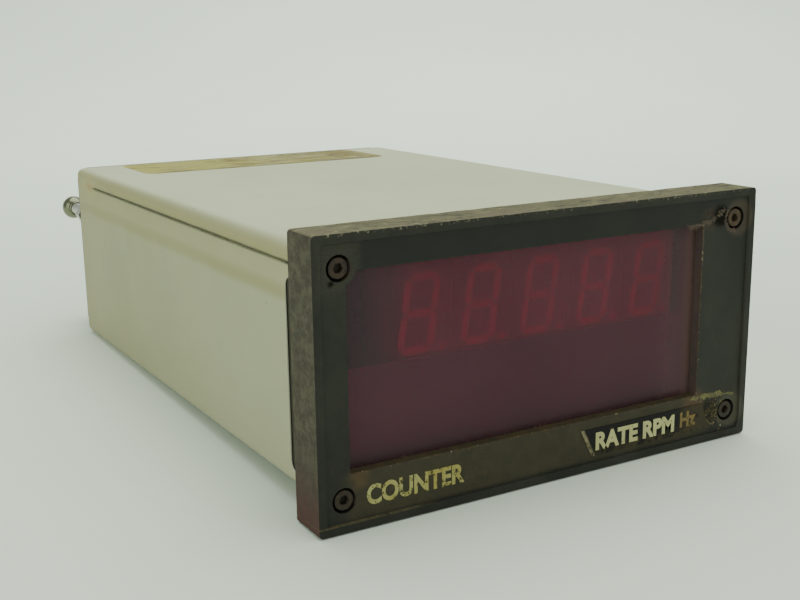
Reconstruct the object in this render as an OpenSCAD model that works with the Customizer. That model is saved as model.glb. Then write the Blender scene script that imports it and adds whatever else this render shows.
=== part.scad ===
// Panel-mount frequency counter with a five-digit display, in a case for a 92 x 45 mm cut-out.
// Millimetres. The plane y = 0 is the back of the bezel, where the front of the panel meets it.
// The bezel is in front of it (-y), the case runs to the rear (+y), z is up, x = 0 is the middle.

/* [Bezel] */
// Width of the bezel
bezel_w = 96; // [95:0.5:100]
// Height of the bezel
bezel_h = 50; // [49:0.5:54]
// Thickness of the bezel
bezel_t = 8.5; // [8.5:0.1:10]
// Width of the raised rim round the front face
rim_w = 1.5; // [1:0.1:2]
// Depth of the flat field inside the rim
field_depth = 0.4; // [0.2:0.1:0.5]
// Distance of the corner screws from the middle, sideways
screw_x = 43.1; // [42.8:0.1:43.3]
// Distance of the corner screws from the middle, up and down
screw_z = 19.4; // [19:0.1:19.6]

/* [Window] */
// Left edge of the window
window_left = -41.9; // [-42:0.1:-38]
// Right edge of the window
window_right = 34.7; // [33:0.1:36]
// Bottom edge of the window
window_bottom = -15; // [-16:0.1:-12]
// Top edge of the window
window_top = 18.8; // [18.6:0.1:19]
// Thickness of the red filter
filter_t = 2; // [1.5:0.1:2]

/* [Case] */
// Width of the case
case_w = 90.8; // [90.4:0.1:91]
// Height of the underside of the case
case_bottom = -21.5; // [-22:0.1:-21]
// Height of the top of the case
case_top = 22; // [21.8:0.1:22.2]
// Length of the case behind the panel
case_l = 133.4; // [130:0.1:140]
// Sheet thickness
sheet_t = 1; // [0.8:0.1:1.2]
// Height of the seam between the case body and the top cover
seam_z = 18.5; // [18:0.1:18.8]
// Width of the open part of the seam
seam_gap = 0.45; // [0.2:0.05:0.6]
// Length of the open part of the seam
seam_l = 119.6; // [100:0.1:125]

/* [Display] */
// Distance between digit centres
digit_pitch = 12.7; // [12.6:0.05:13]
// Height of a digit module
digit_h = 19; // [18:0.5:19]
// Depth of a digit module
digit_depth = 8; // [7:0.1:8]
// Height of the digits' centre line
digit_z = 8.8; // [8.5:0.1:9]
// Height of a character
char_h = 14.2; // [12:0.1:15]
// Width of a character
char_w = 7.2; // [6:0.1:8]
// Lean of the characters, in degrees
lean_deg = 8.5; // [0:0.5:10]

/* [Rear] */
// Number of wire terminals
terminals = 10; // [6:1:10]
// Distance between the wire terminals
terminal_pitch = 7.62; // [7:0.01:7.62]
// Number of rate-setting levers
levers = 4; // [4]
// Travel of a rate-setting lever
lever_travel = 1.4; // [0.8:0.1:1.4]
// Diameter of the bracket studs
stud_d = 3; // [2.5:0.1:3.5]

/* [Hidden] */
$fn = 64;
over = 0.5;
gap = 0.05;
fit_gap = 0.2;
digits = 5;
thread_r = 1;

field_y = -bezel_t + field_depth;
filter_y = -bezel_t + 2.4;
filter_lap = 1.4;
boss_r = 3.1;
counterbore_r = 2.2;
counterbore_y = field_y + 2.3;

half_case = case_w / 2;
inner_x = half_case - sheet_t;
inner_bottom = case_bottom + sheet_t;
inner_top = case_top - sheet_t;
case_front = -1 + gap;
case_pocket_y = -1;

digit_y = -3.2;
digit_back = digit_y + digit_depth;
digit_w = digit_pitch - 0.2;
segment_depth = 0.5;
board_t = 1.6;
display_back = digit_back + board_t;

deck = -12.4;
board_x = 42.4;
main_y0 = 14;
rear_board_y0 = case_l - 5.9;
rear_board_y1 = rear_board_y0 + board_t;
main_y1 = rear_board_y0 - gap;

plate_t = 1.5;
plate_y = case_l;
plate_back = plate_y + plate_t;
plate_inset = 0.6;
plate_low = case_bottom + 1.3;
plate_high = case_top - 0.2;
stud_x = 42.3;
stud_z = 9.5;
stud_end = case_l + 17;
rear_screw_x = 41.4;
rear_screw_z = 17.4;

strip_bottom = -17;
strip_top = -5;
strip_mid = (strip_bottom + strip_top) / 2;
strip_base_y = plate_back + 6;
strip_wall_y = plate_back + 12;
strip_wall_t = 1.2;

switch_x = 26;
switch_z = 6;
switch_w = 10.8;
switch_h = 7.4;
switch_face = plate_back + 0.3;
lever_pitch = 2.54;
levers_up = [true, false, false, true];

trimmer_x = 10;
trimmer_z = 6;
rotor_slot_deg = 25;

// ---- Shapes that repeat ----

// A box between two opposite corners.
module block(low, high) {
    translate(low) cube(high - low);
}

// A flat outline drawn in x and z, thickened from y0 to y1.
module along_y(y0, y1) {
    translate([0, y1, 0]) rotate([90, 0, 0]) linear_extrude(y1 - y0) children();
}

// A cylinder along y at (x, z).
module rod_y(x, z, r, y0, y1) {
    translate([x, y0, z]) rotate([-90, 0, 0]) cylinder(h = y1 - y0, r = r);
}

// The waste outside one rounded corner at (x, y). sx and sy are 1 or -1 and point outwards.
module corner_waste(x, y, sx, sy, r) {
    translate([x - sx * r, y - sy * r]) difference() {
        translate([sx > 0 ? 0 : -r - over, sy > 0 ? 0 : -r - over]) square(r + over);
        circle(r);
    }
}

// A rectangle between two corners, with its own radius at the lower left, lower right,
// upper right and upper left corner.
module soft_rect(low, high, radii) {
    difference() {
        translate(low) square(high - low);
        if (radii[0] > 0) corner_waste(low[0], low[1], -1, -1, radii[0]);
        if (radii[1] > 0) corner_waste(high[0], low[1], 1, -1, radii[1]);
        if (radii[2] > 0) corner_waste(high[0], high[1], 1, 1, radii[2]);
        if (radii[3] > 0) corner_waste(low[0], high[1], -1, 1, radii[3]);
    }
}

module even_rect(low, high, r) {
    soft_rect(low, high, [r, r, r, r]);
}

// Children at the four bezel screws.
module at_bezel_screws() {
    for (x = [-screw_x, screw_x], z = [-screw_z, screw_z]) translate([x, 0, z]) children();
}

// Children at the four rear panel screws.
module at_rear_screws() {
    for (x = [-rear_screw_x, rear_screw_x], z = [-rear_screw_z, rear_screw_z])
        translate([x, 0, z]) children();
}

// A pan head with a cross slot, its underside at y = 0, standing towards +y.
module pan_head(r, h) {
    difference() {
        rod_y(0, 0, r, 0, h);
        block([-r * 0.7, h * 0.5, -0.3], [r * 0.7, h + over, 0.3]);
        block([-0.3, h * 0.5, -r * 0.7], [0.3, h + over, r * 0.7]);
    }
}

// A chip with two rows of legs, lying on z = 0, its long side along y.
module chip(pins, w, h) {
    length = pins / 2 * 2.54 - 0.6;
    stand = 0.5;
    block([-w / 2, -length / 2, stand], [w / 2, length / 2, stand + h]);
    for (side = [-1, 1], i = [0 : pins / 2 - 1]) {
        y = (i - (pins / 2 - 1) / 2) * 2.54;
        x = side * (w / 2 + 0.3);
        block([x - 0.5, y - 0.25, 0], [x + 0.2 + (side > 0 ? 0.1 : 0.3), y + 0.25, stand + h / 2]);
    }
}

// A part with a round body between two bent leads, lying on z = 0 along y.
module axial_part(r, length, span) {
    rise = r + 0.4;
    rod_y(0, rise, r, -length / 2, length / 2);
    rod_y(0, rise, 0.3, -span / 2, span / 2);
    for (y = [-span / 2, span / 2]) translate([0, y, 0]) cylinder(h = rise, r = 0.3);
}

// An upright can on z = 0.
module can(r, h) {
    difference() {
        cylinder(h = h, r = r);
        translate([0, 0, 1.4]) rotate_extrude() translate([r + 0.25, 0]) circle(0.6);
    }
}

// ---- Bezel and window ----

// The two corner bosses that reach into the window's left-hand corners.
module left_bosses(r) {
    for (z = [-screw_z, screw_z]) translate([-screw_x, z]) circle(r);
}

// The window opening, between the bosses.
module window_outline() {
    difference() {
        even_rect([window_left, window_bottom], [window_right, window_top], 0.4);
        left_bosses(boss_r);
    }
}

// The seat of the filter, larger all round than the window by lap.
module filter_outline(lap) {
    difference() {
        even_rect([window_left - lap, window_bottom - lap], [window_right + lap, window_top + lap], 0.6);
        left_bosses(boss_r - 0.4 + filter_lap - lap);
    }
}

module bezel() {
    half_w = bezel_w / 2;
    half_h = bezel_h / 2;
    rim = rim_w;
    color("darkslategray") difference() {
        along_y(-bezel_t, 0) even_rect([-half_w, -half_h], [half_w, half_h], 0.7);
        along_y(-bezel_t - over, field_y)
            even_rect([rim - half_w, rim - half_h], [half_w - rim, half_h - rim], 0.8);
        along_y(-bezel_t - over, filter_y + over) window_outline();
        along_y(filter_y, case_pocket_y + over) filter_outline(filter_lap);
        along_y(case_pocket_y, over)
            even_rect([-half_case - fit_gap, case_bottom - fit_gap], [half_case + fit_gap, case_top + fit_gap], 2.2);
        at_bezel_screws() {
            rod_y(0, 0, counterbore_r, -bezel_t - over, counterbore_y);
            rod_y(0, 0, thread_r + 0.15, -bezel_t, over);
        }
    }
}

module bezel_screws() {
    head_r = 1.75;
    head_face = field_y + 0.15;
    socket_r = 1.5 / 2 / cos(30);
    color("dimgray") at_bezel_screws() {
        difference() {
            rod_y(0, 0, head_r, head_face, counterbore_y);
            translate([0, head_face - over, 0]) rotate([-90, 0, 0])
                cylinder(h = 1.1 + over, r = socket_r, $fn = 6);
        }
        rod_y(0, 0, thread_r, counterbore_y, case_front + 6);
    }
}

module filter_window() {
    color("darkred", 0.6) along_y(filter_y + gap, filter_y + filter_t) filter_outline(filter_lap - 0.15);
}

// A blank badge with a slanted left edge, on the field under the window.
module front_label() {
    top = -16.9;
    bottom = -22.3;
    color("black") along_y(field_y - 0.15, field_y)
        polygon([[8.7, bottom], [38.5, bottom], [36.4, top], [6.1, top]]);
}

// ---- Display ----

// The light plate that closes the lower half of the window, on two posts.
module lower_mask() {
    face = filter_y + filter_t + 0.15;
    color("gray") {
        along_y(face, face + 0.6)
            even_rect([window_left - 1, window_bottom - 1.2], [window_right + 1.2, 1.2], 0.5);
        for (x = [-28, 28]) rod_y(x, -9, 2, face + 0.6, digit_back);
    }
}

// One bar of a character, level or upright, pointed at both ends.
function bar(cx, cz, length, t, level) =
    let (a = length / 2, b = length / 2 - t / 2, c = t / 2)
    level
        ? [[cx - a, cz], [cx - b, cz + c], [cx + b, cz + c], [cx + a, cz], [cx + b, cz - c], [cx - b, cz - c]]
        : [[cx, cz - a], [cx + c, cz - b], [cx + c, cz + b], [cx, cz + a], [cx - c, cz + b], [cx - c, cz - b]];

// Points leaned over to the right with their height.
function leaned(points) = [for (p = points) [p[0] + p[1] * tan(lean_deg), p[1]]];

// The seven bars and the point of one character, slimmer all round by slack.
module character(slack) {
    stroke = 1.4;
    half_w = (char_w - stroke) / 2;
    half_h = (char_h - stroke) / 2;
    t = stroke - 2 * slack;
    split = 0.36 + 2 * slack;
    for (z = [-half_h, 0, half_h]) polygon(leaned(bar(0, z, 2 * half_w - split, t, true)));
    for (x = [-half_w, half_w], z = [-half_h / 2, half_h / 2])
        polygon(leaned(bar(x, z, half_h - split, t, false)));
    translate([half_w + 1.6, -half_h]) circle(0.7 - slack);
}

function digit_x(i) = (i - (digits + 1) / 2) * digit_pitch;

module digit_body(i) {
    color("lightgray") translate([digit_x(i), 0, digit_z]) difference() {
        along_y(digit_y, digit_back) translate([-digit_w / 2, -digit_h / 2]) square([digit_w, digit_h]);
        along_y(digit_y - over, digit_y + segment_depth) character(0);
    }
}

module digit_segments(i) {
    color("crimson") translate([digit_x(i), 0, digit_z])
        along_y(digit_y + 0.02, digit_y + segment_depth) character(0.02);
}

module display_board() {
    color("darkgreen") along_y(digit_back + gap, display_back)
        difference() {
            translate([-42, -17.5]) square([84, 36]);
            for (x = [-38.5, 38.5]) translate([x, 0]) circle(1.6);
        }
}

module driver_chips() {
    color("black") for (x = [-17, 17])
        translate([x, display_back, 7]) rotate([-90, 0, 0]) rotate([0, 0, 90]) chip(16, 6.4, 2.4);
}

// The moulded frame that holds the display board in the mouth of the case.
module front_frame() {
    outer_x = inner_x - fit_gap;
    low = inner_bottom + fit_gap;
    high = inner_top - fit_gap;
    color("gray") difference() {
        along_y(0.3, 9.6) difference() {
            even_rect([-outer_x, low], [outer_x, high], 0.8);
            translate([-40.6, -16.2]) square([81.2, 34.6]);
        }
        along_y(digit_back, 9.6 + over) translate([-42.2, -17.7]) square([84.4, 36.4]);
        for (x = [-1, 1], z = [-1, 1])
            translate([x * outer_x, 4, z * 20.4]) cube([9, 8, 7.6], center = true);
    }
}

// ---- Case ----

// The case's outside, or with inset = sheet_t its hollow.
module case_solid(inset) {
    x = half_case - inset;
    low = case_bottom + inset;
    high = case_top - inset;
    back = case_l - inset;
    front = case_front - (inset > 0 ? over : 0);
    intersection() {
        along_y(front, back) even_rect([-x, low], [x, high], 2.4 - inset);
        translate([0, 0, low - over]) linear_extrude(high - low + 2 * over)
            soft_rect([-x, front], [x, back], [0, 0, 1.4 - inset, 1.4 - inset]);
        translate([-x - over, 0, 0]) rotate([90, 0, 90]) linear_extrude(2 * (x + over))
            soft_rect([front, low], [back, high], [0, 4 - inset, 1.4 - inset, 0]);
    }
}

module case_shell() {
    difference() {
        case_solid(0);
        case_solid(sheet_t);
    }
}

// A tab folded in at a front corner, with the thread for a bezel screw. It lies between the heights
// z_in and z_out, and reaches out to x = reach.
module front_tab(side, z_in, z_out, reach) {
    mirror([side < 0 ? 1 : 0, 0, 0]) difference() {
        block([39.5, case_front, min(z_in, z_out)], [reach, case_front + sheet_t, max(z_in, z_out)]);
        rod_y(screw_x, z_out > 0 ? screw_z : -screw_z, thread_r + 0.03, case_front - over, case_front + 2);
    }
}

module case_body() {
    notch_l = 7.2;
    color("beige") difference() {
        union() {
            intersection() {
                case_shell();
                block([-60, -5, case_bottom - 1], [60, case_l + 1, seam_z]);
            }
            for (side = [-1, 1]) front_tab(side, -16.9, inner_bottom - 0.3, inner_x + 0.3);
        }
        for (side = [-1, 1]) {
            translate([side * half_case, 0, 0]) {
                block([-sheet_t - 0.3, -5, seam_z - seam_gap], [sheet_t + 0.3, seam_l, seam_z + over]);
                translate([-sheet_t - 0.2, 0, 0]) rotate([90, 0, 90]) linear_extrude(2 * sheet_t + 0.4)
                    soft_rect([-3, -18.5], [notch_l, 15.8], [0, 1.6, 1.6, 0]);
            }
            rod_y(side * stud_x, stud_z, stud_d / 2 + 0.1, case_l - 3, case_l + over);
            rod_y(side * rear_screw_x, -rear_screw_z, thread_r + 0.03, case_l - 3, case_l + over);
            rod_y(side * rear_screw_x, rear_screw_z, thread_r + 0.03, case_l - 3, case_l + over);
        }
        along_y(case_l - 3, case_l + over) even_rect([-38.8, -15.8], [38.8, 13.6], 1.5);
    }
}

module top_cover() {
    lap_in = inner_x - gap - 1;
    color("ivory") {
        difference() {
            intersection() {
                case_shell();
                block([-60, -5, seam_z], [60, case_l + 1, case_top + 1]);
            }
            at_rear_screws() rod_y(0, 0, thread_r + 0.03, case_l - 3, case_l + over);
        }
        for (side = [-1, 1]) {
            mirror([side < 0 ? 1 : 0, 0, 0]) {
                block([lap_in, 11, seam_z - 4], [inner_x - gap, 126, inner_top + 0.2]);
                block([lap_in, 11, seam_z + gap], [inner_x + 0.3, 126, seam_z + 1]);
            }
            front_tab(side, 16.4, inner_top + 0.3, inner_x - gap);
        }
    }
}

// The blank paper label on the top cover.
module top_label() {
    color("khaki") translate([0, 0, case_top]) linear_extrude(0.15)
        even_rect([-34.3, 109], [32.2, 131.2], 2.2);
}

// Two grooved rails that the main board slides in.
module card_guides() {
    color("black") for (side = [0, 1]) mirror([side, 0, 0]) difference() {
        block([41.2, 18, deck - board_t - 1.8], [inner_x - gap, 122, deck + 1.8]);
        block([41, 17, deck - board_t - 0.1], [board_x + 0.1, 123, deck + 0.1]);
    }
}

// ---- Main board ----

module main_board() {
    color("darkgreen") difference() {
        block([-board_x, main_y0, deck - board_t], [board_x, main_y1, deck]);
        for (x = [-36, 36]) translate([x, 20, deck - board_t - over]) cylinder(h = board_t + 1, r = 1.6);
    }
}

// A row of pins in a plastic strip, running from one board to the other.
module pin_link(count, pitch, z, strip_y, y0, y1) {
    half = count * pitch / 2;
    block([-half, strip_y, deck], [half, strip_y + 2.5, deck + 2.6]);
    for (i = [0 : count - 1]) {
        x = (i - (count - 1) / 2) * pitch;
        block([x - 0.32, y0, z - 0.32], [x + 0.32, y1, z + 0.32]);
    }
}

module board_link() {
    color("goldenrod") pin_link(12, 2.54, deck + 1.3, main_y0 + 0.6, display_back, main_y0 + 1);
}

module rear_link() {
    color("goldenrod") pin_link(14, 2.54, deck + 1.3, main_y1 - 4.4, main_y1 - 2.4, rear_board_y0);
}

module counter_chip() {
    color("black") translate([-20, 54, deck]) chip(40, 13.6, 3.4);
}

module logic_chips() {
    color("black") for (x = [2, 16], y = [38, 64]) translate([x, y, deck]) chip(16, 6.4, 3.2);
}

module crystal() {
    color("silver") translate([-20, 24, deck]) {
        linear_extrude(0.7) even_rect([-5.6, -2.4], [5.6, 2.4], 2.3);
        translate([0, 0, 0.7]) linear_extrude(12) even_rect([-5.1, -1.9], [5.1, 1.9], 1.8);
    }
}

module transformer_core() {
    color("gray") translate([-24, 101, deck]) difference() {
        block([-16, -8, 0], [16, 8, 27]);
        for (x = [-12, 4]) block([x, -8 - over, 5], [x + 8, 8 + over, 22]);
    }
}

module transformer_coil() {
    color("orange") translate([-24, 101, deck]) difference() {
        translate([0, 0, 5.3]) linear_extrude(16.4) even_rect([-11.6, -13], [11.6, 13], 3);
        block([-4.2, -8.2, 0], [4.2, 8.2, 27]);
    }
}

module filter_capacitor() {
    color("royalblue") translate([6, 108, deck]) can(8, 25);
}

module small_capacitors() {
    color("darkblue") for (x = [24, 33], y = [88, 98]) translate([x, y, deck]) can(3.15, 11);
}

module bridge_diodes() {
    color("black") for (i = [0 : 3]) translate([-1 + 4.4 * i, 88, deck]) axial_part(1.35, 5.2, 10);
}

module heat_sink() {
    color("silver") translate([30, 113, deck]) {
        block([-11, -1.6, 0.3], [11, 0, 20]);
        for (x = [-11, 9.4]) block([x, -8, 0.3], [x + 1.6, 0, 20]);
        for (x = [-5.6, 4]) block([x, -6.6, 0.3], [x + 1.6, -1, 20]);
    }
}

module regulator() {
    color("black") translate([30, 113 + gap, deck]) {
        difference() {
            block([-5.1, 0, 3.5], [5.1, 1.3, 18.5]);
            rod_y(0, 15.6, 1.6, -over, 2);
        }
        block([-5.1, 1.3, 3.5], [5.1, 4.4, 12.2]);
        for (x = [-2.54, 0, 2.54]) block([x - 0.4, 2, 0], [x + 0.4, 2.6, 3.5]);
    }
}

module regulator_screw() {
    color("silver") translate([30, 113 + gap + 1.3, deck + 15.6]) {
        pan_head(2.8, 1.8);
        rod_y(0, 0, 1.45, -1.3, 0);
    }
}

module resistors() {
    color("tan") for (i = [0 : 7]) translate([26 + 4 * (i % 4), i < 4 ? 30 : 46, deck]) axial_part(1.2, 6.4, 11);
}

module transistors() {
    color("black") for (i = [0 : 2]) translate([26 + 6 * i, 62, deck + 3]) {
        difference() {
            cylinder(h = 4.6, r = 2.4);
            block([-3, 1.2, -over], [3, 3, 5.2]);
        }
        for (x = [-1.27, 0, 1.27]) block([x - 0.25, -0.25, -3], [x + 0.25, 0.25, 0]);
    }
}

fuse_x = 30.5;
fuse_y = 76;
fuse_z = deck + 4;

module fuse() {
    color("lightgray") translate([fuse_x, fuse_y, fuse_z]) rotate([0, 90, 0]) {
        translate([0, 0, -9]) cylinder(h = 18, r = 2.2);
        for (x = [-10, 5]) translate([0, 0, x]) cylinder(h = 5, r = 2.6);
    }
}

module fuse_clips() {
    color("silver") translate([fuse_x, fuse_y, fuse_z]) for (x = [-9.5, 5.5]) difference() {
        block([x, -3.3, deck - fuse_z], [x + 4, 3.3, 2.6]);
        rotate([0, 90, 0]) translate([0, 0, x - over]) cylinder(h = 5, r = 2.62);
        block([x - over, -2.1, 0], [x + 4.5, 2.1, 3]);
    }
}

// ---- Rear ----

module rear_board() {
    color("darkgreen") along_y(rear_board_y0, rear_board_y1)
        even_rect([-40, -15.6], [40, 13.4], 0.8);
}

// The opening in the switch's face that a lever's stem runs in, and the wider one behind it for its foot.
module lever_slots() {
    for (i = [1 : levers]) translate([lever_x(i), 0, switch_z]) {
        block([-0.8, switch_face - 1.5, -1.7], [0.8, switch_face + over, 1.7]);
        block([-1.1, switch_face - 3.9, -2.2], [1.1, switch_face - 1, 2.2]);
    }
}

function lever_x(i) = switch_x + (i - (levers + 1) / 2) * lever_pitch;
function lever_z(i) = switch_z + (levers_up[i - 1] ? 0.5 : -0.5) * lever_travel;

module switch_body() {
    color("firebrick") difference() {
        along_y(rear_board_y1 + gap, switch_face)
            translate([switch_x - switch_w / 2, switch_z - switch_h / 2]) square([switch_w, switch_h]);
        lever_slots();
    }
}

module switch_lever(i) {
    color("white") translate([lever_x(i), 0, lever_z(i)]) {
        block([-0.8, switch_face - 3.6, -1.2], [0.8, switch_face - 1.3, 1.2]);
        block([-0.5, switch_face - 1.5, -0.7], [0.5, switch_face + 0.6, 0.7]);
    }
}

module trimmer_body() {
    half = 3.9;
    color("steelblue") difference() {
        along_y(rear_board_y1 + gap, rear_board_y1 + 4.1)
            translate([trimmer_x - half, trimmer_z - half]) square(2 * half);
        rod_y(trimmer_x, trimmer_z, 3.15, rear_board_y1 + 1.2, rear_board_y1 + 3);
        rod_y(trimmer_x, trimmer_z, 2.6, rear_board_y1 + 2, rear_board_y1 + 5);
    }
}

module trimmer_rotor() {
    face = plate_back - 0.3;
    color("white") translate([trimmer_x, 0, trimmer_z]) rotate([0, rotor_slot_deg, 0]) difference() {
        union() {
            rod_y(0, 0, 3, rear_board_y1 + 1.5, rear_board_y1 + 2.6);
            rod_y(0, 0, 2.5, rear_board_y1 + 2, face);
        }
        block([-1.9, face - 1, -0.35], [1.9, face + over, 0.35]);
        block([-0.9, face - 1, 0.3], [0.9, face + over, 1.1]);
    }
}

module rear_panel() {
    x = half_case - plate_inset;
    color("dimgray") difference() {
        along_y(plate_y + gap, plate_back) even_rect([-x, plate_low], [x, plate_high], 3);
        at_rear_screws() rod_y(0, 0, thread_r + 0.2, case_l - over, plate_back + over);
        for (side = [-1, 1]) rod_y(side * stud_x, stud_z, stud_d / 2 + 0.1, case_l - over, plate_back + over);
        rod_y(trimmer_x, trimmer_z, 2.9, case_l - over, plate_back + over);
        along_y(case_l - over, plate_back + over) {
            translate([switch_x - switch_w / 2 - fit_gap, switch_z - switch_h / 2 - fit_gap])
                square([switch_w + 2 * fit_gap, switch_h + 2 * fit_gap]);
            translate([-36.5, -15.6]) square([73, 2.2]);
        }
    }
}

module rear_panel_screws() {
    color("silver") at_rear_screws() translate([0, plate_back, 0]) {
        pan_head(1.9, 1.4);
        rod_y(0, 0, thread_r, -plate_t - 2.2, 0);
    }
}

function terminal_x(i) = (i - (terminals + 1) / 2) * terminal_pitch;

module terminal_strip() {
    half = (terminals * terminal_pitch + strip_wall_t) / 2;
    color("black") difference() {
        union() {
            block([-half, plate_back, strip_bottom], [half, strip_base_y, strip_top]);
            for (i = [0 : terminals]) {
                x = -half + i * terminal_pitch;
                block([x, plate_back, strip_bottom], [x + strip_wall_t, strip_wall_y, strip_top]);
            }
        }
        for (i = [1 : terminals]) rod_y(terminal_x(i), strip_mid, 1.55, plate_back + 1, strip_base_y + over);
    }
}

module terminal_plates() {
    color("silver") for (i = [1 : terminals]) translate([terminal_x(i), strip_base_y, strip_mid]) difference() {
        block([-2.9, 0, -5.4], [2.9, 0.6, 5.4]);
        rod_y(0, 0, 1.6, -over, 1);
    }
}

module terminal_screws() {
    color("gold") for (i = [1 : terminals]) translate([terminal_x(i), strip_base_y + 0.6, strip_mid]) {
        difference() {
            rod_y(0, 0, 2.75, 0, 2);
            block([-3, 1, -0.4], [3, 3, 0.4]);
        }
        rod_y(0, 0, 1.5, -5, 0);
    }
}

module terminal_tails() {
    color("silver") for (i = [1 : terminals]) rod_y(terminal_x(i), -14.5, 0.5, rear_board_y1, plate_back);
}

module bracket_studs() {
    color("silver") for (side = [-1, 1]) rod_y(side * stud_x, stud_z, stud_d / 2, case_l - 2.4, stud_end - 1.2);
}

module stud_nuts() {
    across = 5.5 / 2 / cos(30);
    color("silver") for (side = [-1, 1]) translate([side * stud_x, plate_back, stud_z]) difference() {
        rotate([-90, 0, 0]) cylinder(h = 2.4, r = across, $fn = 6);
        rod_y(0, 0, stud_d / 2 + 0.03, -over, 3);
    }
}

// Domed nuts on the ends of the studs: a ball with a short neck.
module cap_nuts() {
    ball_r = 3;
    neck_r = 2;
    color("silver") for (side = [-1, 1]) translate([side * stud_x, stud_end, stud_z]) difference() {
        union() {
            sphere(r = ball_r);
            rod_y(0, 0, neck_r, -3.4, -1.4);
        }
        rod_y(0, 0, stud_d / 2 + 0.03, -6, -1.1);
    }
}

bezel();
bezel_screws();
filter_window();
front_label();
lower_mask();
digit_body(1);  // digit_body_1
digit_body(2);  // digit_body_2
digit_body(3);  // digit_body_3
digit_body(4);  // digit_body_4
digit_body(5);  // digit_body_5
digit_segments(1);  // digit_segments_1
digit_segments(2);  // digit_segments_2
digit_segments(3);  // digit_segments_3
digit_segments(4);  // digit_segments_4
digit_segments(5);  // digit_segments_5
display_board();
driver_chips();
front_frame();
case_body();
top_cover();
top_label();
card_guides();
main_board();
board_link();
counter_chip();
logic_chips();
crystal();
transformer_core();
transformer_coil();
filter_capacitor();
small_capacitors();
bridge_diodes();
regulator();
heat_sink();
regulator_screw();
resistors();
fuse();
fuse_clips();
transistors();
rear_board();
rear_link();
switch_body();
switch_lever(1);  // switch_lever_1
switch_lever(2);  // switch_lever_2
switch_lever(3);  // switch_lever_3
switch_lever(4);  // switch_lever_4
trimmer_body();
trimmer_rotor();
rear_panel();
rear_panel_screws();
terminal_strip();
terminal_plates();
terminal_screws();
terminal_tails();
bracket_studs();
stud_nuts();
cap_nuts();
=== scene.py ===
"""Looks of the panel-mount frequency counter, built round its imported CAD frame."""

import math
import random

import bmesh
import bpy
from mathutils import Matrix, Vector, noise


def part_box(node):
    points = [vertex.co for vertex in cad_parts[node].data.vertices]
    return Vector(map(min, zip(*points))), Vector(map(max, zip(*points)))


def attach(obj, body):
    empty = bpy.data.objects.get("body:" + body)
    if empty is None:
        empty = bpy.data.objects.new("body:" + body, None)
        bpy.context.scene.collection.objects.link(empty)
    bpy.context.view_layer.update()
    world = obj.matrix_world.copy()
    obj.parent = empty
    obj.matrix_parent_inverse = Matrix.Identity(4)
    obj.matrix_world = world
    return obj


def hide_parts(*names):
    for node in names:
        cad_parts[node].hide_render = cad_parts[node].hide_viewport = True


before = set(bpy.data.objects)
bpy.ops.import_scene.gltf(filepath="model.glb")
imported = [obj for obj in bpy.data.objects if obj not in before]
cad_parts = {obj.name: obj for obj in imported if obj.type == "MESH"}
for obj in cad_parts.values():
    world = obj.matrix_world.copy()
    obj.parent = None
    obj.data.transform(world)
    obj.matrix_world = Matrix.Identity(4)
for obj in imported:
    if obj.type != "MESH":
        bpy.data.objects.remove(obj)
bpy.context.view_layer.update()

MM = 0.001
BODY = "meter"

# ---- Places taken from the frame, in metres ----

bezel_low, bezel_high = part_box("bezel")
case_low, case_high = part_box("case_body")
filter_low, filter_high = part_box("filter_window")
label_low, label_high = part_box("top_label")
badge_low, badge_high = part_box("front_label")
screws_low, screws_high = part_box("bezel_screws")
studs_low, studs_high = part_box("bracket_studs")
nuts_low, nuts_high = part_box("cap_nuts")

# the front face, the screws' centres, the window's edges, the display's left end, the seam's height and
# rear end, the side notches' rear end, and how deep crumbs sit in the front face, all in millimetres
FIELD_Y = badge_high.y / MM
SCREW_HEAD_R = 1.75
SCREW_X = screws_high.x / MM - SCREW_HEAD_R
SCREW_Z = screws_high.z / MM - SCREW_HEAD_R
FILTER_LAP = 1.25
WINDOW_LEFT = filter_low.x / MM + FILTER_LAP
WINDOW_RIGHT = filter_high.x / MM - FILTER_LAP
WINDOW_BOTTOM = filter_low.z / MM + FILTER_LAP
WINDOW_TOP = filter_high.z / MM - FILTER_LAP
DISPLAY_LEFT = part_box("digit_body_1")[0].x / MM
SEAM_Z = 18.5
SEAM_END = 119.6
NOTCH_END = 7.2
SUNK = 0.02


# ---- Node graphs ----

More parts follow.
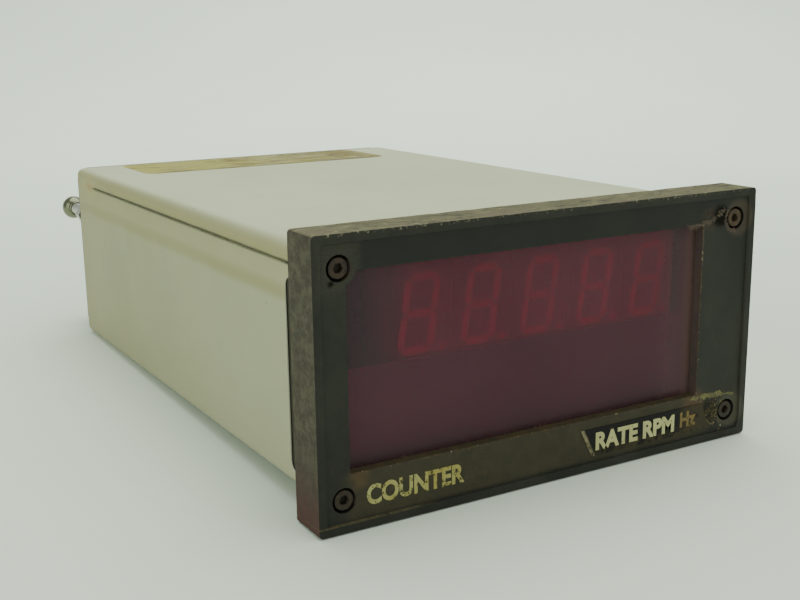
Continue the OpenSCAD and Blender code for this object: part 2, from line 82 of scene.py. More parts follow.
class Graph:
    """A material's node tree, with short calls for the nodes that the materials here share.

    Lengths in it are millimetres: self.place is the piece's own coordinates times 1000.
    """

    def __init__(self, name):
        self.material = bpy.data.materials.new(name)
        self.material.use_nodes = True
        self.tree = self.material.node_tree
        self.tree.nodes.clear()
        self.output = self.add("ShaderNodeOutputMaterial")
        self.shader = self.add("ShaderNodeBsdfPrincipled")
        self.join(self.shader.outputs[0], self.output.inputs["Surface"])
        self.coords = self.add("ShaderNodeTexCoord")
        self.place = self.vector("SCALE", self.coords.outputs["Object"], scale=1000)
        split = self.add("ShaderNodeSeparateXYZ")
        self.join(self.place, split.inputs[0])
        self.x, self.y, self.z = split.outputs
        facing = self.add("ShaderNodeSeparateXYZ")
        self.join(self.coords.outputs["Normal"], facing.inputs[0])
        self.nx, self.ny, self.nz = facing.outputs

    def add(self, kind, **settings):
        node = self.tree.nodes.new(kind)
        for key, value in settings.items():
            setattr(node, key, value)
        return node

    def join(self, source, target):
        """Feeds a socket from another socket, or sets it to a value."""
        if isinstance(source, bpy.types.NodeSocket):
            self.tree.links.new(source, target)
        else:
            target.default_value = source

    def vector(self, operation, a, b=None, scale=None):
        node = self.add("ShaderNodeVectorMath", operation=operation)
        self.join(a, node.inputs[0])
        if b is not None:
            self.join(b, node.inputs[1])
        if scale is not None:
            node.inputs["Scale"].default_value = scale
        return node.outputs["Value"] if operation in ("LENGTH", "DISTANCE") else node.outputs["Vector"]

    def math(self, operation, a, b=0.0, c=0.0, clamp=False):
        node = self.add("ShaderNodeMath", operation=operation, use_clamp=clamp)
        for source, socket in zip((a, b, c), node.inputs):
            self.join(source, socket)
        return node.outputs[0]

    def fold(self, operation, parts):
        total = parts[0]
        for part in parts[1:]:
            total = self.math(operation, total, part)
        return total

    def plus(self, *parts):
        return self.fold("ADD", parts)

    def times(self, *parts):
        return self.fold("MULTIPLY", parts)

    def least(self, *parts):
        return self.fold("MINIMUM", parts)

    def most(self, *parts):
        return self.fold("MAXIMUM", parts)

    def minus(self, a, b):
        return self.math("SUBTRACT", a, b)

    def size(self, a):
        return self.math("ABSOLUTE", a)

    def fade(self, value, start, end, low=0.0, high=1.0):
        """Goes smoothly from low to high as value goes from start to end."""
        node = self.add("ShaderNodeMapRange", interpolation_type="SMOOTHSTEP")
        flip = start > end
        self.join(value, node.inputs["Value"])
        node.inputs["From Min"].default_value = end if flip else start
        node.inputs["From Max"].default_value = start if flip else end
        node.inputs["To Min"].default_value = high if flip else low
        node.inputs["To Max"].default_value = low if flip else high
        return node.outputs["Result"]

    def between(self, value, low, high, soft):
        """1 between low and high, fading to 0 within soft outside."""
        return self.times(self.fade(value, low - soft, low), self.fade(value, high + soft, high))

    def noise(self, scale, detail=4.0, rough=0.55, stretch=(1, 1, 1), seed=0.0):
        """Noise with features of about 1 / scale millimetres."""
        node = self.add("ShaderNodeTexNoise", noise_dimensions="4D")
        spread = self.vector("MULTIPLY", self.place, stretch)
        self.join(spread, node.inputs["Vector"])
        values = {"W": seed, "Scale": scale, "Detail": detail, "Roughness": rough, "Distortion": 0.0}
        for key, value in values.items():
            node.inputs[key].default_value = value
        return node.outputs["Fac"]

    def spots(self, scale, radius, share=1.0):
        """Round spots of about radius on a random share of a grid of 1 / scale millimetre cells."""
        cells = self.add("ShaderNodeTexVoronoi", feature="F1")
        self.join(self.place, cells.inputs["Vector"])
        cells.inputs["Scale"].default_value = scale
        pick = self.add("ShaderNodeSeparateColor")
        self.join(cells.outputs["Color"], pick.inputs[0])
        chosen = self.math("LESS_THAN", pick.outputs[0], share)
        round_spot = self.fade(cells.outputs["Distance"], radius * scale, 0.6 * radius * scale)
        return self.times(chosen, round_spot)

    def mix(self, amount, a, b):
        node = self.add("ShaderNodeMix", data_type="RGBA", clamp_factor=True)
        self.join(amount, node.inputs["Factor"])
        for colour, index in ((a, 6), (b, 7)):
            if not isinstance(colour, bpy.types.NodeSocket):
                colour = (*colour, 1.0)
            self.join(colour, node.inputs[index])
        return node.outputs[2]

    def base(self, a, b, value, start, end):
        """Starts the surface's colour: from a to b as value goes from start to end."""
        self.tone = self.mix(self.fade(value, start, end), a, b)

    def lay(self, colour, *shares):
        """Lays a colour over the one so far, with the product of the shares as its cover."""
        self.tone = self.mix(self.times(*shares), self.tone, colour)

    def distance(self, point):
        """Distance from a point given in millimetres."""
        return self.vector("DISTANCE", self.place, point)

    def patch(self, x, z, ragged, outer, inner):
        """A patch about a point of the bezel's front, its outline ragged by the scuff noise."""
        away = self.plus(self.distance((x, FIELD_Y, z)), self.times(self.scuff, ragged))
        return self.fade(away, outer, inner)

    def bump(self, height, depth):
        """A normal for a height that runs from 0 to 1 over depth millimetres."""
        node = self.add("ShaderNodeBump")
        node.inputs["Strength"].default_value = 1.0
        node.inputs["Distance"].default_value = depth * MM
        self.join(height, node.inputs["Height"])
        return node.outputs["Normal"]

    def finish(self, roughness, normal, metallic=0.0, **plain):
        """Feeds the shader with the colour so far and the rest; other inputs go by name."""
        values = {"Base Color": self.tone, "Roughness": roughness, "Normal": normal, "Metallic": metallic}
        for key, value in values.items():
            self.join(value, self.shader.inputs[key])
        for key, value in plain.items():
            self.shader.inputs[key.replace("_", " ")].default_value = value
        return self.material


# ---- Materials ----

def moulded(name, colour, roughness=0.5, grain=2.5, depth=0.02, dust=0.15):
    """Plain moulded plastic: a fine grain, patchy gloss and a little dust."""
    g = Graph(name)
    patches = g.noise(0.12, seed=2)
    fine = g.noise(grain, detail=3)
    lighter = tuple(c * 1.25 + 0.012 for c in colour)
    g.tone = g.mix(g.fade(patches, 0.35, 0.7, 0.0, 0.8), colour, lighter)
    settled = g.times(g.fade(g.nz, 0.3, 0.9), g.fade(g.noise(0.5, seed=5), 0.4, 0.75), dust)
    g.lay((0.42, 0.40, 0.35), settled)
    shine = g.plus(g.times(patches, 0.18), roughness - 0.09)
    return g.finish(shine, g.bump(fine, depth))


def worn_metal(name, colour, roughness=0.35, tarnish=(0.25, 0.19, 0.12), share=0.45, metallic=1.0):
    """Plated or bare metal with brushed streaks and patches of tarnish."""
    g = Graph(name)
    streaks = g.noise(1.6, stretch=(0.3, 1, 3), detail=5)
    patches = g.noise(0.35, 6, 0.65, seed=3)
    dull = g.fade(patches, 1.0 - share, 1.15 - share)
    g.tone = g.mix(g.fade(streaks, 0.3, 0.7, 0, 0.35), colour, tuple(c * 0.72 for c in colour))
    g.lay(tarnish, dull, 0.75)
    shine = g.plus(g.times(streaks, 0.15), g.times(dull, 0.3), roughness - 0.07)
    return g.finish(shine, g.bump(g.plus(streaks, patches), 0.012), metallic=metallic)


def rubbed_top(g):
    """The bezel's top face, rubbed to a dusty tan."""
    streaks = g.noise(1.1, 9, 0.78, stretch=(0.28, 1, 1), seed=9)
    g.base((0.180, 0.168, 0.088), (0.058, 0.050, 0.031), streaks, 0.36, 0.68)
    g.lay((0.150, 0.112, 0.078), g.fade(g.noise(0.16, 5, seed=10), 0.48, 0.62), 0.6)
    g.lay((0.350, 0.320, 0.160), g.fade(g.noise(1.6, 6, stretch=(0.3, 1, 1), seed=12), 0.60, 0.68))
    g.lay((0.038, 0.030, 0.021), g.fade(g.noise(0.5, 6, stretch=(0.5, 1, 1), seed=13), 0.56, 0.66))
    return g.tone


def mottled_sides(g):
    """The bezel's sides: mottled grey-brown, red towards the foot."""
    g.base((0.092, 0.084, 0.055), (0.050, 0.042, 0.031), g.scuff, 0.40, 0.60)
    g.lay((0.068, 0.072, 0.040), g.fade(g.blotchy, 0.50, 0.66), 0.7)
    g.lay((0.118, 0.088, 0.066), g.fade(g.fine, 0.50, 0.68), 0.5)
    g.lay((0.150, 0.122, 0.060), g.fade(g.noise(1.3, 6, 0.7, seed=16), 0.58, 0.70, 0, 0.5))
    red_spots = g.fade(g.noise(0.7, 6, 0.7, seed=17), 0.56, 0.68)
    g.lay((0.105, 0.032, 0.032), red_spots, g.fade(g.from_front, 4.0, 6.5), 0.7)
    uneven = g.plus(g.z, g.times(g.scuff, 14))
    g.lay((0.056, 0.030, 0.026), g.fade(g.plus(uneven, g.times(g.fine, 4)), 2, -17), 0.85)
    g.lay((0.110, 0.038, 0.032), g.fade(uneven, -8, -16), g.fade(g.fine, 0.35, 0.6), 0.6)
    return g.tone


def window_walls(g):
    """The walls of the bezel's window: brown, painted paler than the bezel's black plastic as painted light
    in the shaded recess, with settled dirt, most of it at their front and rear ends.
    """
    # painted light: the ledge and walls are painted far paler than the bezel's black plastic, lifting the
    # recess's shade
    g.base((0.048, 0.042, 0.022), (0.082, 0.066, 0.030), g.blotchy, 0.40, 0.65)
    ledge = g.tone
    g.base((0.084, 0.062, 0.062), (0.108, 0.074, 0.066), g.plus(g.scuff, g.times(g.fine, 0.3)), 0.50, 0.80)
    g.lay(ledge, g.fade(g.nz, 0.3, 0.7))
    ends = g.fade(g.size(g.minus(g.y, (FIELD_Y + filter_low.y / MM) / 2)), 0.45, 0.85)
    g.lay((0.105, 0.058, 0.030), ends, g.fade(g.noise(1.1, 8, 0.8, seed=26), 0.46, 0.60), 0.7)
    return g.tone


def dust_and_rim_highlight(g):
    """Dust round the screws and in the groove at the lower left, and a painted highlight on the rim's inner
    walls.
    """
    beside = g.most(g.size(g.plus(g.x, SCREW_X)), g.size(g.minus(g.z, SCREW_Z)))
    g.lay((0.056, 0.053, 0.032), g.on_front, g.fade(beside, 4.6, 3.2), g.fade(g.fine, 0.35, 0.65), 0.45)
    lower_right = g.times(g.fade(g.x, 35, 40), g.fade(g.size(g.plus(g.z, SCREW_Z)), 6.5, 2.5))
    g.lay((0.052, 0.042, 0.024), g.on_front, lower_right, g.fade(g.blotchy, 0.45, 0.75), 0.5)
    for height, dusty in ((SCREW_Z, (0.056, 0.040, 0.027)), (-SCREW_Z, (0.062, 0.058, 0.037))):
        g.lay(dusty, g.on_front, g.patch(SCREW_X + 0.8, height, 1, 4.6, 3.4), 0.7)
    # painted highlight: the rim's inner walls are painted paler than the black plastic
    rim_wall_highlight = g.times(g.fade(g.size(g.nx), 0.4, 0.8), g.between(g.size(g.x), 45.6, 46.9, 0.1))
    g.lay((0.060, 0.058, 0.045), rim_wall_highlight, g.math("LESS_THAN", g.y, FIELD_Y + 0.05))
    groove = g.times(g.fade(g.size(g.plus(g.z, 23.45)), 0.20, 0.06), g.between(g.x, -46, -32, 8))
    caught = g.fade(g.noise(0.8, 7, 0.8, seed=27), 0.40, 0.56)
    g.lay((0.135, 0.115, 0.050), groove, caught, g.fade(g.ny, 0.9, 0.5), 0.6)


def window_grime_and_shadows(g):
    """Grime below the window, stains at its corners, rust along its right and lower edges, and painted
    shadows to the left of the right-hand screws.
    """
    below = g.times(g.on_front, g.between(g.z, WINDOW_BOTTOM - 7.6, WINDOW_BOTTOM - 0.4, 1.0),
                    g.between(g.x, -40.5, 35, 4.0))
    blotch = g.plus(g.noise(0.4, 8, 0.72, seed=15), g.times(g.fine, 0.25))
    g.lay((0.052, 0.043, 0.019), below, g.fade(blotch, 0.40, 0.85, 0.4, 1.0), 0.72)
    g.lay((0.072, 0.058, 0.027), below, g.fade(g.blotchy, 0.52, 0.72), 0.5)
    g.lay((0.165, 0.142, 0.062), below, g.fade(g.grit, 0.60, 0.70), 0.5)
    stain = g.times(g.on_front, g.patch(2.9 - SCREW_X, 3.4 - SCREW_Z, 3, 4.4, 2.2))
    g.lay((0.115, 0.062, 0.026), stain, g.fade(g.blotchy, 0.3, 0.55), 0.45)
    red_stain = g.times(g.on_front, g.patch(WINDOW_RIGHT - 0.5, WINDOW_BOTTOM - 1.2, 3, 5.2, 2.4))
    g.lay((0.135, 0.066, 0.036), red_stain, g.fade(g.fine, 0.35, 0.6), 0.6)
    # painted shadow: a dark patch to the left of the lower right screw
    painted_shadow_patch = g.times(g.on_front, g.patch(SCREW_X - 4.4, 0.6 - SCREW_Z, 2, 4.2, 2.8))
    g.lay((0.012, 0.011, 0.007), painted_shadow_patch, 0.85)
    low_edge = g.times(g.fade(g.size(g.minus(g.z, WINDOW_BOTTOM)), 0.30, 0.05),
                       g.between(g.x, -41, WINDOW_RIGHT, 0.5))
    right_edge = g.times(g.fade(g.size(g.minus(g.x, WINDOW_RIGHT)), 0.34, 0.06),
                         g.between(g.z, WINDOW_BOTTOM, WINDOW_TOP, 0.5))
    g.rust = g.times(g.on_front, g.most(low_edge, right_edge),
                     g.fade(g.noise(0.9, 7, 0.8, seed=18), 0.46, 0.60))
    g.lay((0.105, 0.066, 0.033), g.rust, 0.75)
    crumbly = g.plus(g.noise(1.2, 7, 0.75, seed=24), g.times(g.fine, 0.2))
    g.lay((0.046, 0.026, 0.017), g.patch(WINDOW_RIGHT + 1.8, WINDOW_TOP + 1.0, 3, 4.6, 2.6),
          g.fade(crumbly, 0.50, 0.66), 0.7)
    # painted shadow to the left of the upper right screw, and a black spot below the upper left screw
    painted_shadow_and_black_spot = g.times(g.on_front, g.most(g.patch(SCREW_X - 3.9, SCREW_Z + 0.7, 1.5, 3.7, 1.7),
                                            g.patch(-SCREW_X - 1.4, SCREW_Z - 2.4, 1.5, 1.6, 0.9)))
    g.lay((0.008, 0.007, 0.005), painted_shadow_and_black_spot, 0.9)
    g.gunk = g.times(g.on_front, g.patch(SCREW_X - 3.6, 1.0 - SCREW_Z, 4, 5.6, 3.4),
                     g.fade(g.noise(1.3, 6, 0.7, seed=21), 0.44, 0.62))
    g.lay((0.150, 0.118, 0.042), g.gunk, 0.35)
    # the painted shadows get almost no specular sheen, so they stay black
    sheen = g.fade(g.most(painted_shadow_and_black_spot, g.times(painted_shadow_patch, 0.5)), 0.0, 1.0, 0.26, 0.03)
    g.join(sheen, g.shader.inputs["Specular IOR Level"])


def bezel_plastic():
    """The bezel: near-black plastic, dusty on top and sides, grimy round its window and screws, with
    painted shade above the window, painted shadows beside the right-hand screws, painted light on its
    window's walls and a painted highlight on its rim's inner walls.
    """
    g = Graph("bezel_plastic")
    g.scuff = g.noise(0.55, 8, 0.7, seed=1)
    g.fine = g.noise(4.0, 6, 0.7, seed=4)
    g.grit = g.noise(9.0, 3, 0.6, seed=5)
    g.blotchy = g.noise(0.45, 8, 0.72, seed=8)
    broad = g.noise(0.09, 4, seed=7)
    g.from_front = g.minus(g.y, bezel_low.y / MM)
    g.on_front = g.fade(g.ny, -0.6, -0.9)
    on_top = g.times(g.fade(g.nz, 0.6, 0.9), g.math("GREATER_THAN", g.z, bezel_high.z / MM - 1))
    outermost = g.math("GREATER_THAN", g.size(g.x), bezel_high.x / MM - 1)
    on_side = g.times(g.fade(g.size(g.nx), 0.6, 0.9), outermost)
    in_window = g.times(g.fade(g.ny, -0.6, -0.4), g.math("LESS_THAN", g.size(g.x), 42.5),
                        g.math("LESS_THAN", g.size(g.z), 20.5), g.math("LESS_THAN", g.y, filter_low.y / MM))
    top, sides, walls = rubbed_top(g), mottled_sides(g), window_walls(g)

    g.base((0.0150, 0.0150, 0.0115), (0.0300, 0.0296, 0.0228),
           g.plus(broad, g.times(g.scuff, 0.4)), 0.5, 0.95)
    g.lay((0.050, 0.050, 0.037), g.fade(g.fine, 0.52, 0.75), 0.3)
    # painted shade: the front's strip between the window and the top rim is painted darker
    painted_shade_under_rim = g.times(g.between(g.z, WINDOW_TOP, 23, 0.8), g.between(g.x, -38, 38, 4))
    g.lay((0.0095, 0.0110, 0.0090), g.on_front, painted_shade_under_rim, 0.6)
    g.lay(top, on_top, 0.95)
    arris = g.times(g.fade(g.z, 24.3, 24.75), g.fade(g.from_front, 0.75, 0.25))
    chips = g.fade(g.plus(g.noise(1.3, 8, 0.8, seed=14), g.times(g.grit, 0.2)), 0.64, 0.76)
    g.lay((0.400, 0.365, 0.235), arris, chips, 0.85)
    g.lay(sides, on_side, 0.95)
    # the window's walls, painted paler as painted light in the recess
    g.lay(walls, in_window, 0.9)
    dust_and_rim_highlight(g)
    window_grime_and_shadows(g)
    roughness = g.plus(0.48, g.times(broad, 0.12), g.times(on_top, 0.2), g.times(on_side, 0.15),
                       g.times(g.scuff, 0.12))
    height = g.plus(g.times(g.fine, 0.5), g.times(g.scuff, 0.8), g.times(g.gunk, 1.2), g.times(g.rust, 0.8),
                    g.times(g.grit, 0.3))
    return g.finish(roughness, g.bump(height, 0.05))


def side_paint(g):
    """The case's side walls: yellower by the seam, with painted light towards the front and painted shade
    where they bend inwards.
    """
    patchy = g.noise(0.055, 6, 0.6, seed=5)
    g.base((0.332, 0.328, 0.180), (0.352, 0.338, 0.184), patchy, 0.40, 0.62)
    # painted light: the side walls are paler towards the front, by the bezel
    g.lay((0.402, 0.402, 0.248), g.fade(g.plus(g.y, g.times(g.cloud, 30)), 118, 20))
    g.lay((0.372, 0.340, 0.146), g.between(g.z, 13.0, 18.0, 2.0), 0.45)
    # painted shade: a darker yellow-brown line where the side walls bend inwards
    from_bend = g.size(g.minus(g.plus(g.z, g.times(g.cloud, 1.2)), 13.3))
    g.lay((0.285, 0.258, 0.104), g.fade(from_bend, 2.2, 0.3), 0.6)
    g.lay((0.310, 0.285, 0.140), g.fade(g.y, 119, 133), g.fade(patchy, 0.3, 0.6, 0.5, 1.0), 0.45)
    return g.tone


def cut_sheet(g):
    """The sheet's cut edge, across its thickness: a painted highlight line at the outer edge, then dark,
    grey bare steel, and painted shade again at the inner edge.
    """
    from_outside = g.minus(case_high.x / MM, g.size(g.x))
    # painted highlight: a pale line at the sheet's outer edge, then dark
    g.base((0.780, 0.770, 0.620), (0.026, 0.024, 0.018), from_outside, 0.14, 0.26)
    g.lay((0.190, 0.184, 0.142), g.fade(from_outside, 0.40, 0.52))
    # painted shade at the sheet's inner edge, where it meets the frame
    g.lay((0.030, 0.027, 0.020), g.fade(from_outside, 0.84, 0.98))
    return g.tone


def case_paint():
    """Beige paint on steel: orange peel, yellowed edges, smudges, dark specks and a little rust, with
    painted shade along the seam and a painted highlight and painted shade on the notches' cut edges.
    """
    g = Graph("case_paint")
    cloud = g.cloud = g.noise(0.1, 5, seed=2)
    peel = g.noise(1.5, 3, 0.5, seed=3)
    on_side = g.fade(g.size(g.nx), 0.3, 0.9)
    walls, edges = side_paint(g), cut_sheet(g)

    g.base((0.515, 0.532, 0.345), (0.552, 0.570, 0.378), g.noise(0.02, 3, seed=1), 0.35, 0.68)
    g.lay((0.510, 0.520, 0.345), g.fade(cloud, 0.52, 0.75, 0, 0.35))
    g.lay(walls, on_side)
    # yellowed paint and painted shade: the cover's rounded edge darkens to a yellow-brown towards the seam
    yellowing_and_shade_over_seam = g.times(g.fade(g.size(g.nx), 0.05, 0.5),
                        g.fade(g.plus(g.z, g.times(cloud, 0.8)), 22.2, 19.6),
                        g.fade(g.z, 18.2, 18.4),
                        g.fade(g.plus(g.y, g.times(cloud, 12)), 134, 112, 0.3, 1.0))
    g.lay((0.325, 0.288, 0.105), yellowing_and_shade_over_seam, 0.85)
    # painted shade along the open seam between cover and body
    seam_shade = g.times(on_side, g.fade(g.size(g.minus(g.z, SEAM_Z - 0.22)), 0.62, 0.30), g.fade(g.y, 120, 117))
    g.lay((0.050, 0.042, 0.020), seam_shade, g.fade(cloud, 0.2, 0.6, 0.6, 0.95))
    g.lay((0.500, 0.480, 0.295), g.fade(g.y, 14, 1), g.fade(g.noise(0.3, 5, seed=8), 0.3, 0.6), 0.35)
    smudges = g.noise(0.14, 7, 0.72, stretch=(1, 0.35, 1), seed=11)
    g.lay((0.420, 0.400, 0.260), g.fade(smudges, 0.56, 0.72), 0.2)
    specks = g.most(g.spots(0.11, 0.30, 0.30), g.spots(0.23, 0.14, 0.22))
    g.lay((0.150, 0.125, 0.080), specks, 0.75)

    # rust where the open seam ends, and on the cut edges round the side notches bare steel with a painted
    # highlight and painted shade
    past_end = g.times(g.minus(g.y, SEAM_END + 2.5), 0.42)
    off_line = g.times(g.minus(g.z, SEAM_Z - 0.1), 1.1)
    seam_end = g.math("SQRT", g.plus(g.times(past_end, past_end), g.times(off_line, off_line)))
    g.lay((0.395, 0.350, 0.140), on_side, g.fade(g.plus(seam_end, g.times(cloud, 3)), 7.0, 1.8), 0.6)
    rust = g.times(on_side, g.fade(g.plus(seam_end, g.times(peel, 0.9)), 2.1, 0.7))
    g.lay((0.440, 0.285, 0.165), rust, 0.65)
    g.lay(edges, g.math("GREATER_THAN", g.size(g.x), case_high.x / MM - 1.02),
          g.math("LESS_THAN", g.y, NOTCH_END + 0.4), g.math("LESS_THAN", g.size(g.nx), 0.6))
    g.lay((0.400, 0.385, 0.330), g.fade(g.nz, -0.5, -0.9), 0.6)
    roughness = g.plus(0.42, g.times(cloud, 0.14), g.times(specks, 0.2), g.times(rust, 0.3))
    height = g.plus(g.times(peel, 0.6), g.times(specks, -0.5), g.times(rust, 0.8))
    return g.finish(roughness, g.bump(height, 0.022), Specular_IOR_Level=0.4)


def red_filter():
    """The smoked red filter: tinted see-through plastic under a scuffed, dusty surface, with painted light
    near the right wall where the wall shades it.
    """
    g = Graph("red_filter")
    haze = g.noise(0.05, 5, seed=1)
    scratches = g.noise(1.2, 3, 0.6, stretch=(0.22, 1, 1.4), seed=2)
    from_right = g.minus(WINDOW_RIGHT, g.x)
    edge = g.most(g.fade(g.minus(g.z, WINDOW_BOTTOM), 0.9, 0.0), g.fade(from_right, 1.4, 0.0),
                  g.fade(g.minus(g.x, WINDOW_LEFT), 0.8, 0.0, 0.0, 0.5))
    dirt = g.times(edge, g.fade(g.noise(1.6, 6, 0.75, seed=5), 0.42, 0.70))
    wiped = g.fade(g.plus(from_right, g.times(haze, 4)), 13.0, 4.0)
    painted_light_by_wall = g.fade(from_right, 3.2, 0.6)
    lint = g.times(g.spots(0.16, 0.13, 0.12), g.fade(g.noise(0.2, seed=8), 0.4, 0.6))
    g.base((0.056, 0.054, 0.052), (0.076, 0.070, 0.066), haze, 0.35, 0.7)
    g.lay((0.088, 0.050, 0.055), wiped)
    # painted light: the film is painted paler near the right wall, where the wall shades it
    g.lay((0.170, 0.108, 0.098), painted_light_by_wall)
    g.lay((0.110, 0.072, 0.040), dirt, 0.8)
    g.lay((0.45, 0.43, 0.38), lint, 0.9)
    g.finish(g.plus(0.24, g.times(haze, 0.2), g.times(dirt, 0.3)), g.bump(scratches, 0.002),
             Specular_IOR_Level=0.5)
    clear = g.add("ShaderNodeBsdfTransparent")
    front = g.math("LESS_THAN", g.ny, -0.5)
    g.join(g.mix(front, (1.0, 1.0, 1.0), (0.535, 0.010, 0.270)), clear.inputs["Color"])
    blend = g.add("ShaderNodeMixShader")
    # the film covers more near the right wall, as part of the painted light there
    dust = g.plus(0.34, g.times(scratches, 0.06), g.times(wiped, 0.12), g.times(painted_light_by_wall, 0.12))
    film = g.math("MAXIMUM", g.most(g.times(dirt, 0.8), lint), dust, clamp=True)
    g.join(g.times(film, front), blend.inputs[0])
    g.join(clear.outputs[0], blend.inputs[1])
    g.join(g.shader.outputs[0], blend.inputs[2])
    g.join(blend.outputs[0], g.output.inputs["Surface"])
    return g.material


def rusty_screw():
    """Blackened screws with rust in their sockets and on their rims, and painted shade deeper in."""
    g = Graph("rusty_screw")
    patches = g.noise(0.9, 7, 0.7, seed=1)
    fine = g.noise(5.0, 4, seed=2)
    # painted shade: darker more than half a millimetre behind the heads' faces, in the sockets and down the
    # heads' sides
    deep = g.fade(g.y, screws_low.y / MM + 0.5, screws_low.y / MM + 1.1)
    rust = g.fade(g.plus(patches, g.times(fine, 0.25)), 0.52, 0.74)
    g.tone = g.mix(rust, (0.017, 0.013, 0.010), (0.046, 0.028, 0.018))
    g.lay((0.085, 0.070, 0.046), g.fade(fine, 0.58, 0.72), 0.4)
    upper_right = g.times(g.math("GREATER_THAN", g.x, 0.0), g.math("GREATER_THAN", g.z, 0.0),
                          g.fade(patches, 0.3, 0.6))
    g.lay((0.088, 0.056, 0.030), upper_right, 0.7)
    lower = g.times(g.math("LESS_THAN", g.z, 0.0), g.fade(fine, 0.40, 0.65))
    g.lay((0.046, 0.040, 0.022), lower, 0.6)
    g.lay((0.024, 0.018, 0.012), deep, 0.6)
    roughness = g.plus(0.40, g.times(rust, 0.35))
    return g.finish(roughness, g.bump(g.plus(patches, fine), 0.05),
                    metallic=g.fade(rust, 0.0, 1.0, 0.35, 0.05), Specular_IOR_Level=0.35)


def aged_label():
    """Yellowed varnished paper: brown along its front edge, blotched towards its right end."""
    g = Graph("aged_label")
    length = (label_high.x - label_low.x) / MM
    along = g.math("DIVIDE", g.minus(g.x, label_low.x / MM), length)
    from_front = g.minus(g.y, label_low.y / MM)
    from_rear = g.minus(label_high.y / MM, g.y)
    cloud = g.noise(0.14, 7, 0.7, stretch=(0.6, 1, 1), seed=1)
    streaks = g.noise(0.5, 6, 0.65, stretch=(0.2, 0.5, 1), seed=2)
    g.base((0.730, 0.675, 0.180), (0.750, 0.700, 0.250), cloud, 0.35, 0.65)
    browned = g.fade(g.plus(streaks, g.times(along, 0.16)), 0.53, 0.67)
    g.lay((0.380, 0.270, 0.092), browned, 0.8)
    paler = g.noise(0.25, 6, 0.65, stretch=(0.5, 1, 1), seed=6)
    pale = g.fade(g.plus(paler, g.times(along, 0.10)), 0.55, 0.68)
    g.lay((0.660, 0.620, 0.380), pale, 0.7)
    stains = g.noise(0.22, 7, 0.7, stretch=(0.5, 1, 1), seed=9)
    stained = g.fade(g.plus(stains, g.times(along, 0.08)), 0.61, 0.67)
    g.lay((0.230, 0.150, 0.070), stained, 0.8)
    front_line = g.fade(g.plus(from_front, g.times(cloud, 1.6)), 2.0, 0.9)
    g.lay((0.210, 0.130, 0.060), front_line, g.fade(along, 0.0, 0.5, 0.35, 0.9))
    rear_line = g.fade(g.plus(from_rear, g.times(cloud, 1.4)), 1.6, 0.8)
    g.lay((0.300, 0.200, 0.100), rear_line, 0.6)
    return g.finish(g.plus(0.42, g.times(streaks, 0.25)), g.bump(g.plus(streaks, cloud), 0.04))


def printed_ink(name, colour, aged, worn, seed):
    """Printing ink that turns to an aged colour in patches, and is flaked off in places."""
    g = Graph(name)
    flakes = g.noise(1.15, 7, 0.72, seed=seed)
    fine = g.noise(4.0, 4, seed=seed + 1)
    patches = g.noise(0.16, 4, seed=seed + 2)
    g.base(colour, aged, patches, 0.40, 0.60)
    g.lay(tuple(c * 0.55 for c in colour), g.fade(fine, 0.5, 0.8, 0.0, 0.6))
    g.finish(0.55, g.bump(fine, 0.01))
    kept = g.fade(g.plus(flakes, g.times(fine, 0.25)), 0.40 + 0.3 * worn, 0.36 + 0.3 * worn + 0.12)
    g.join(kept, g.shader.inputs["Alpha"])
    return g.material


def badge_film():
    """The dark badge: rubbed, grimy towards its lower edge and its right end, with a painted glint along
    its slanted end.
    """
    g = Graph("badge_film")
    scuff = g.noise(0.8, 7, 0.7, seed=1)
    fine = g.noise(3.5, 4, seed=2)
    slant = (badge_low.z - badge_high.z) / (2.6 * MM)
    along = g.minus(g.x, g.math("DIVIDE", g.minus(g.z, badge_high.z / MM), slant))
    glint = g.times(g.fade(along, badge_low.x / MM + 1.0, badge_low.x / MM + 0.5),
                    g.fade(scuff, 0.35, 0.55))
    g.base((0.0050, 0.0042, 0.0050), (0.016, 0.013, 0.010), scuff, 0.5, 0.75)
    grimy = g.times(g.fade(g.z, -20.0, -21.8), g.fade(g.noise(0.9, 6, seed=4), 0.4, 0.6))
    g.lay((0.070, 0.056, 0.022), grimy, 0.6)
    end = g.times(g.fade(g.x, 29.5, 33.0),
                  g.fade(g.plus(g.noise(0.7, 7, seed=7), g.times(fine, 0.2)), 0.38, 0.62))
    g.lay((0.050, 0.038, 0.017), end, 0.75)
    # painted highlight: a pale glint along the slanted left end
    g.lay((0.270, 0.235, 0.130), glint, 0.8)
    return g.finish(g.plus(0.42, g.times(scuff, 0.2)), g.bump(g.plus(scuff, fine), 0.015),
                    Specular_IOR_Level=0.2)


def frame_moulding():
    """The grey moulding behind the bezel, with painted shade along the edges of the case's side notches and
    next to the bezel.
    """
    g = Graph("frame_moulding")
    cloud = g.noise(0.3, 6, 0.65, seed=1)
    fine = g.noise(2.5, 4, seed=2)
    g.base((0.066, 0.066, 0.050), (0.092, 0.090, 0.070), cloud, 0.35, 0.65)
    # painted shade: darker where the frame meets the case's side notches and the bezel
    caught = g.most(g.fade(g.y, NOTCH_END - 0.7, NOTCH_END - 0.3), g.fade(g.y, 1.1, 0.5, 0.0, 0.8))
    g.lay((0.016, 0.014, 0.010), caught, g.fade(g.size(g.x), 40, 43), 0.85)
    return g.finish(g.plus(0.45, g.times(cloud, 0.2)), g.bump(fine, 0.02))


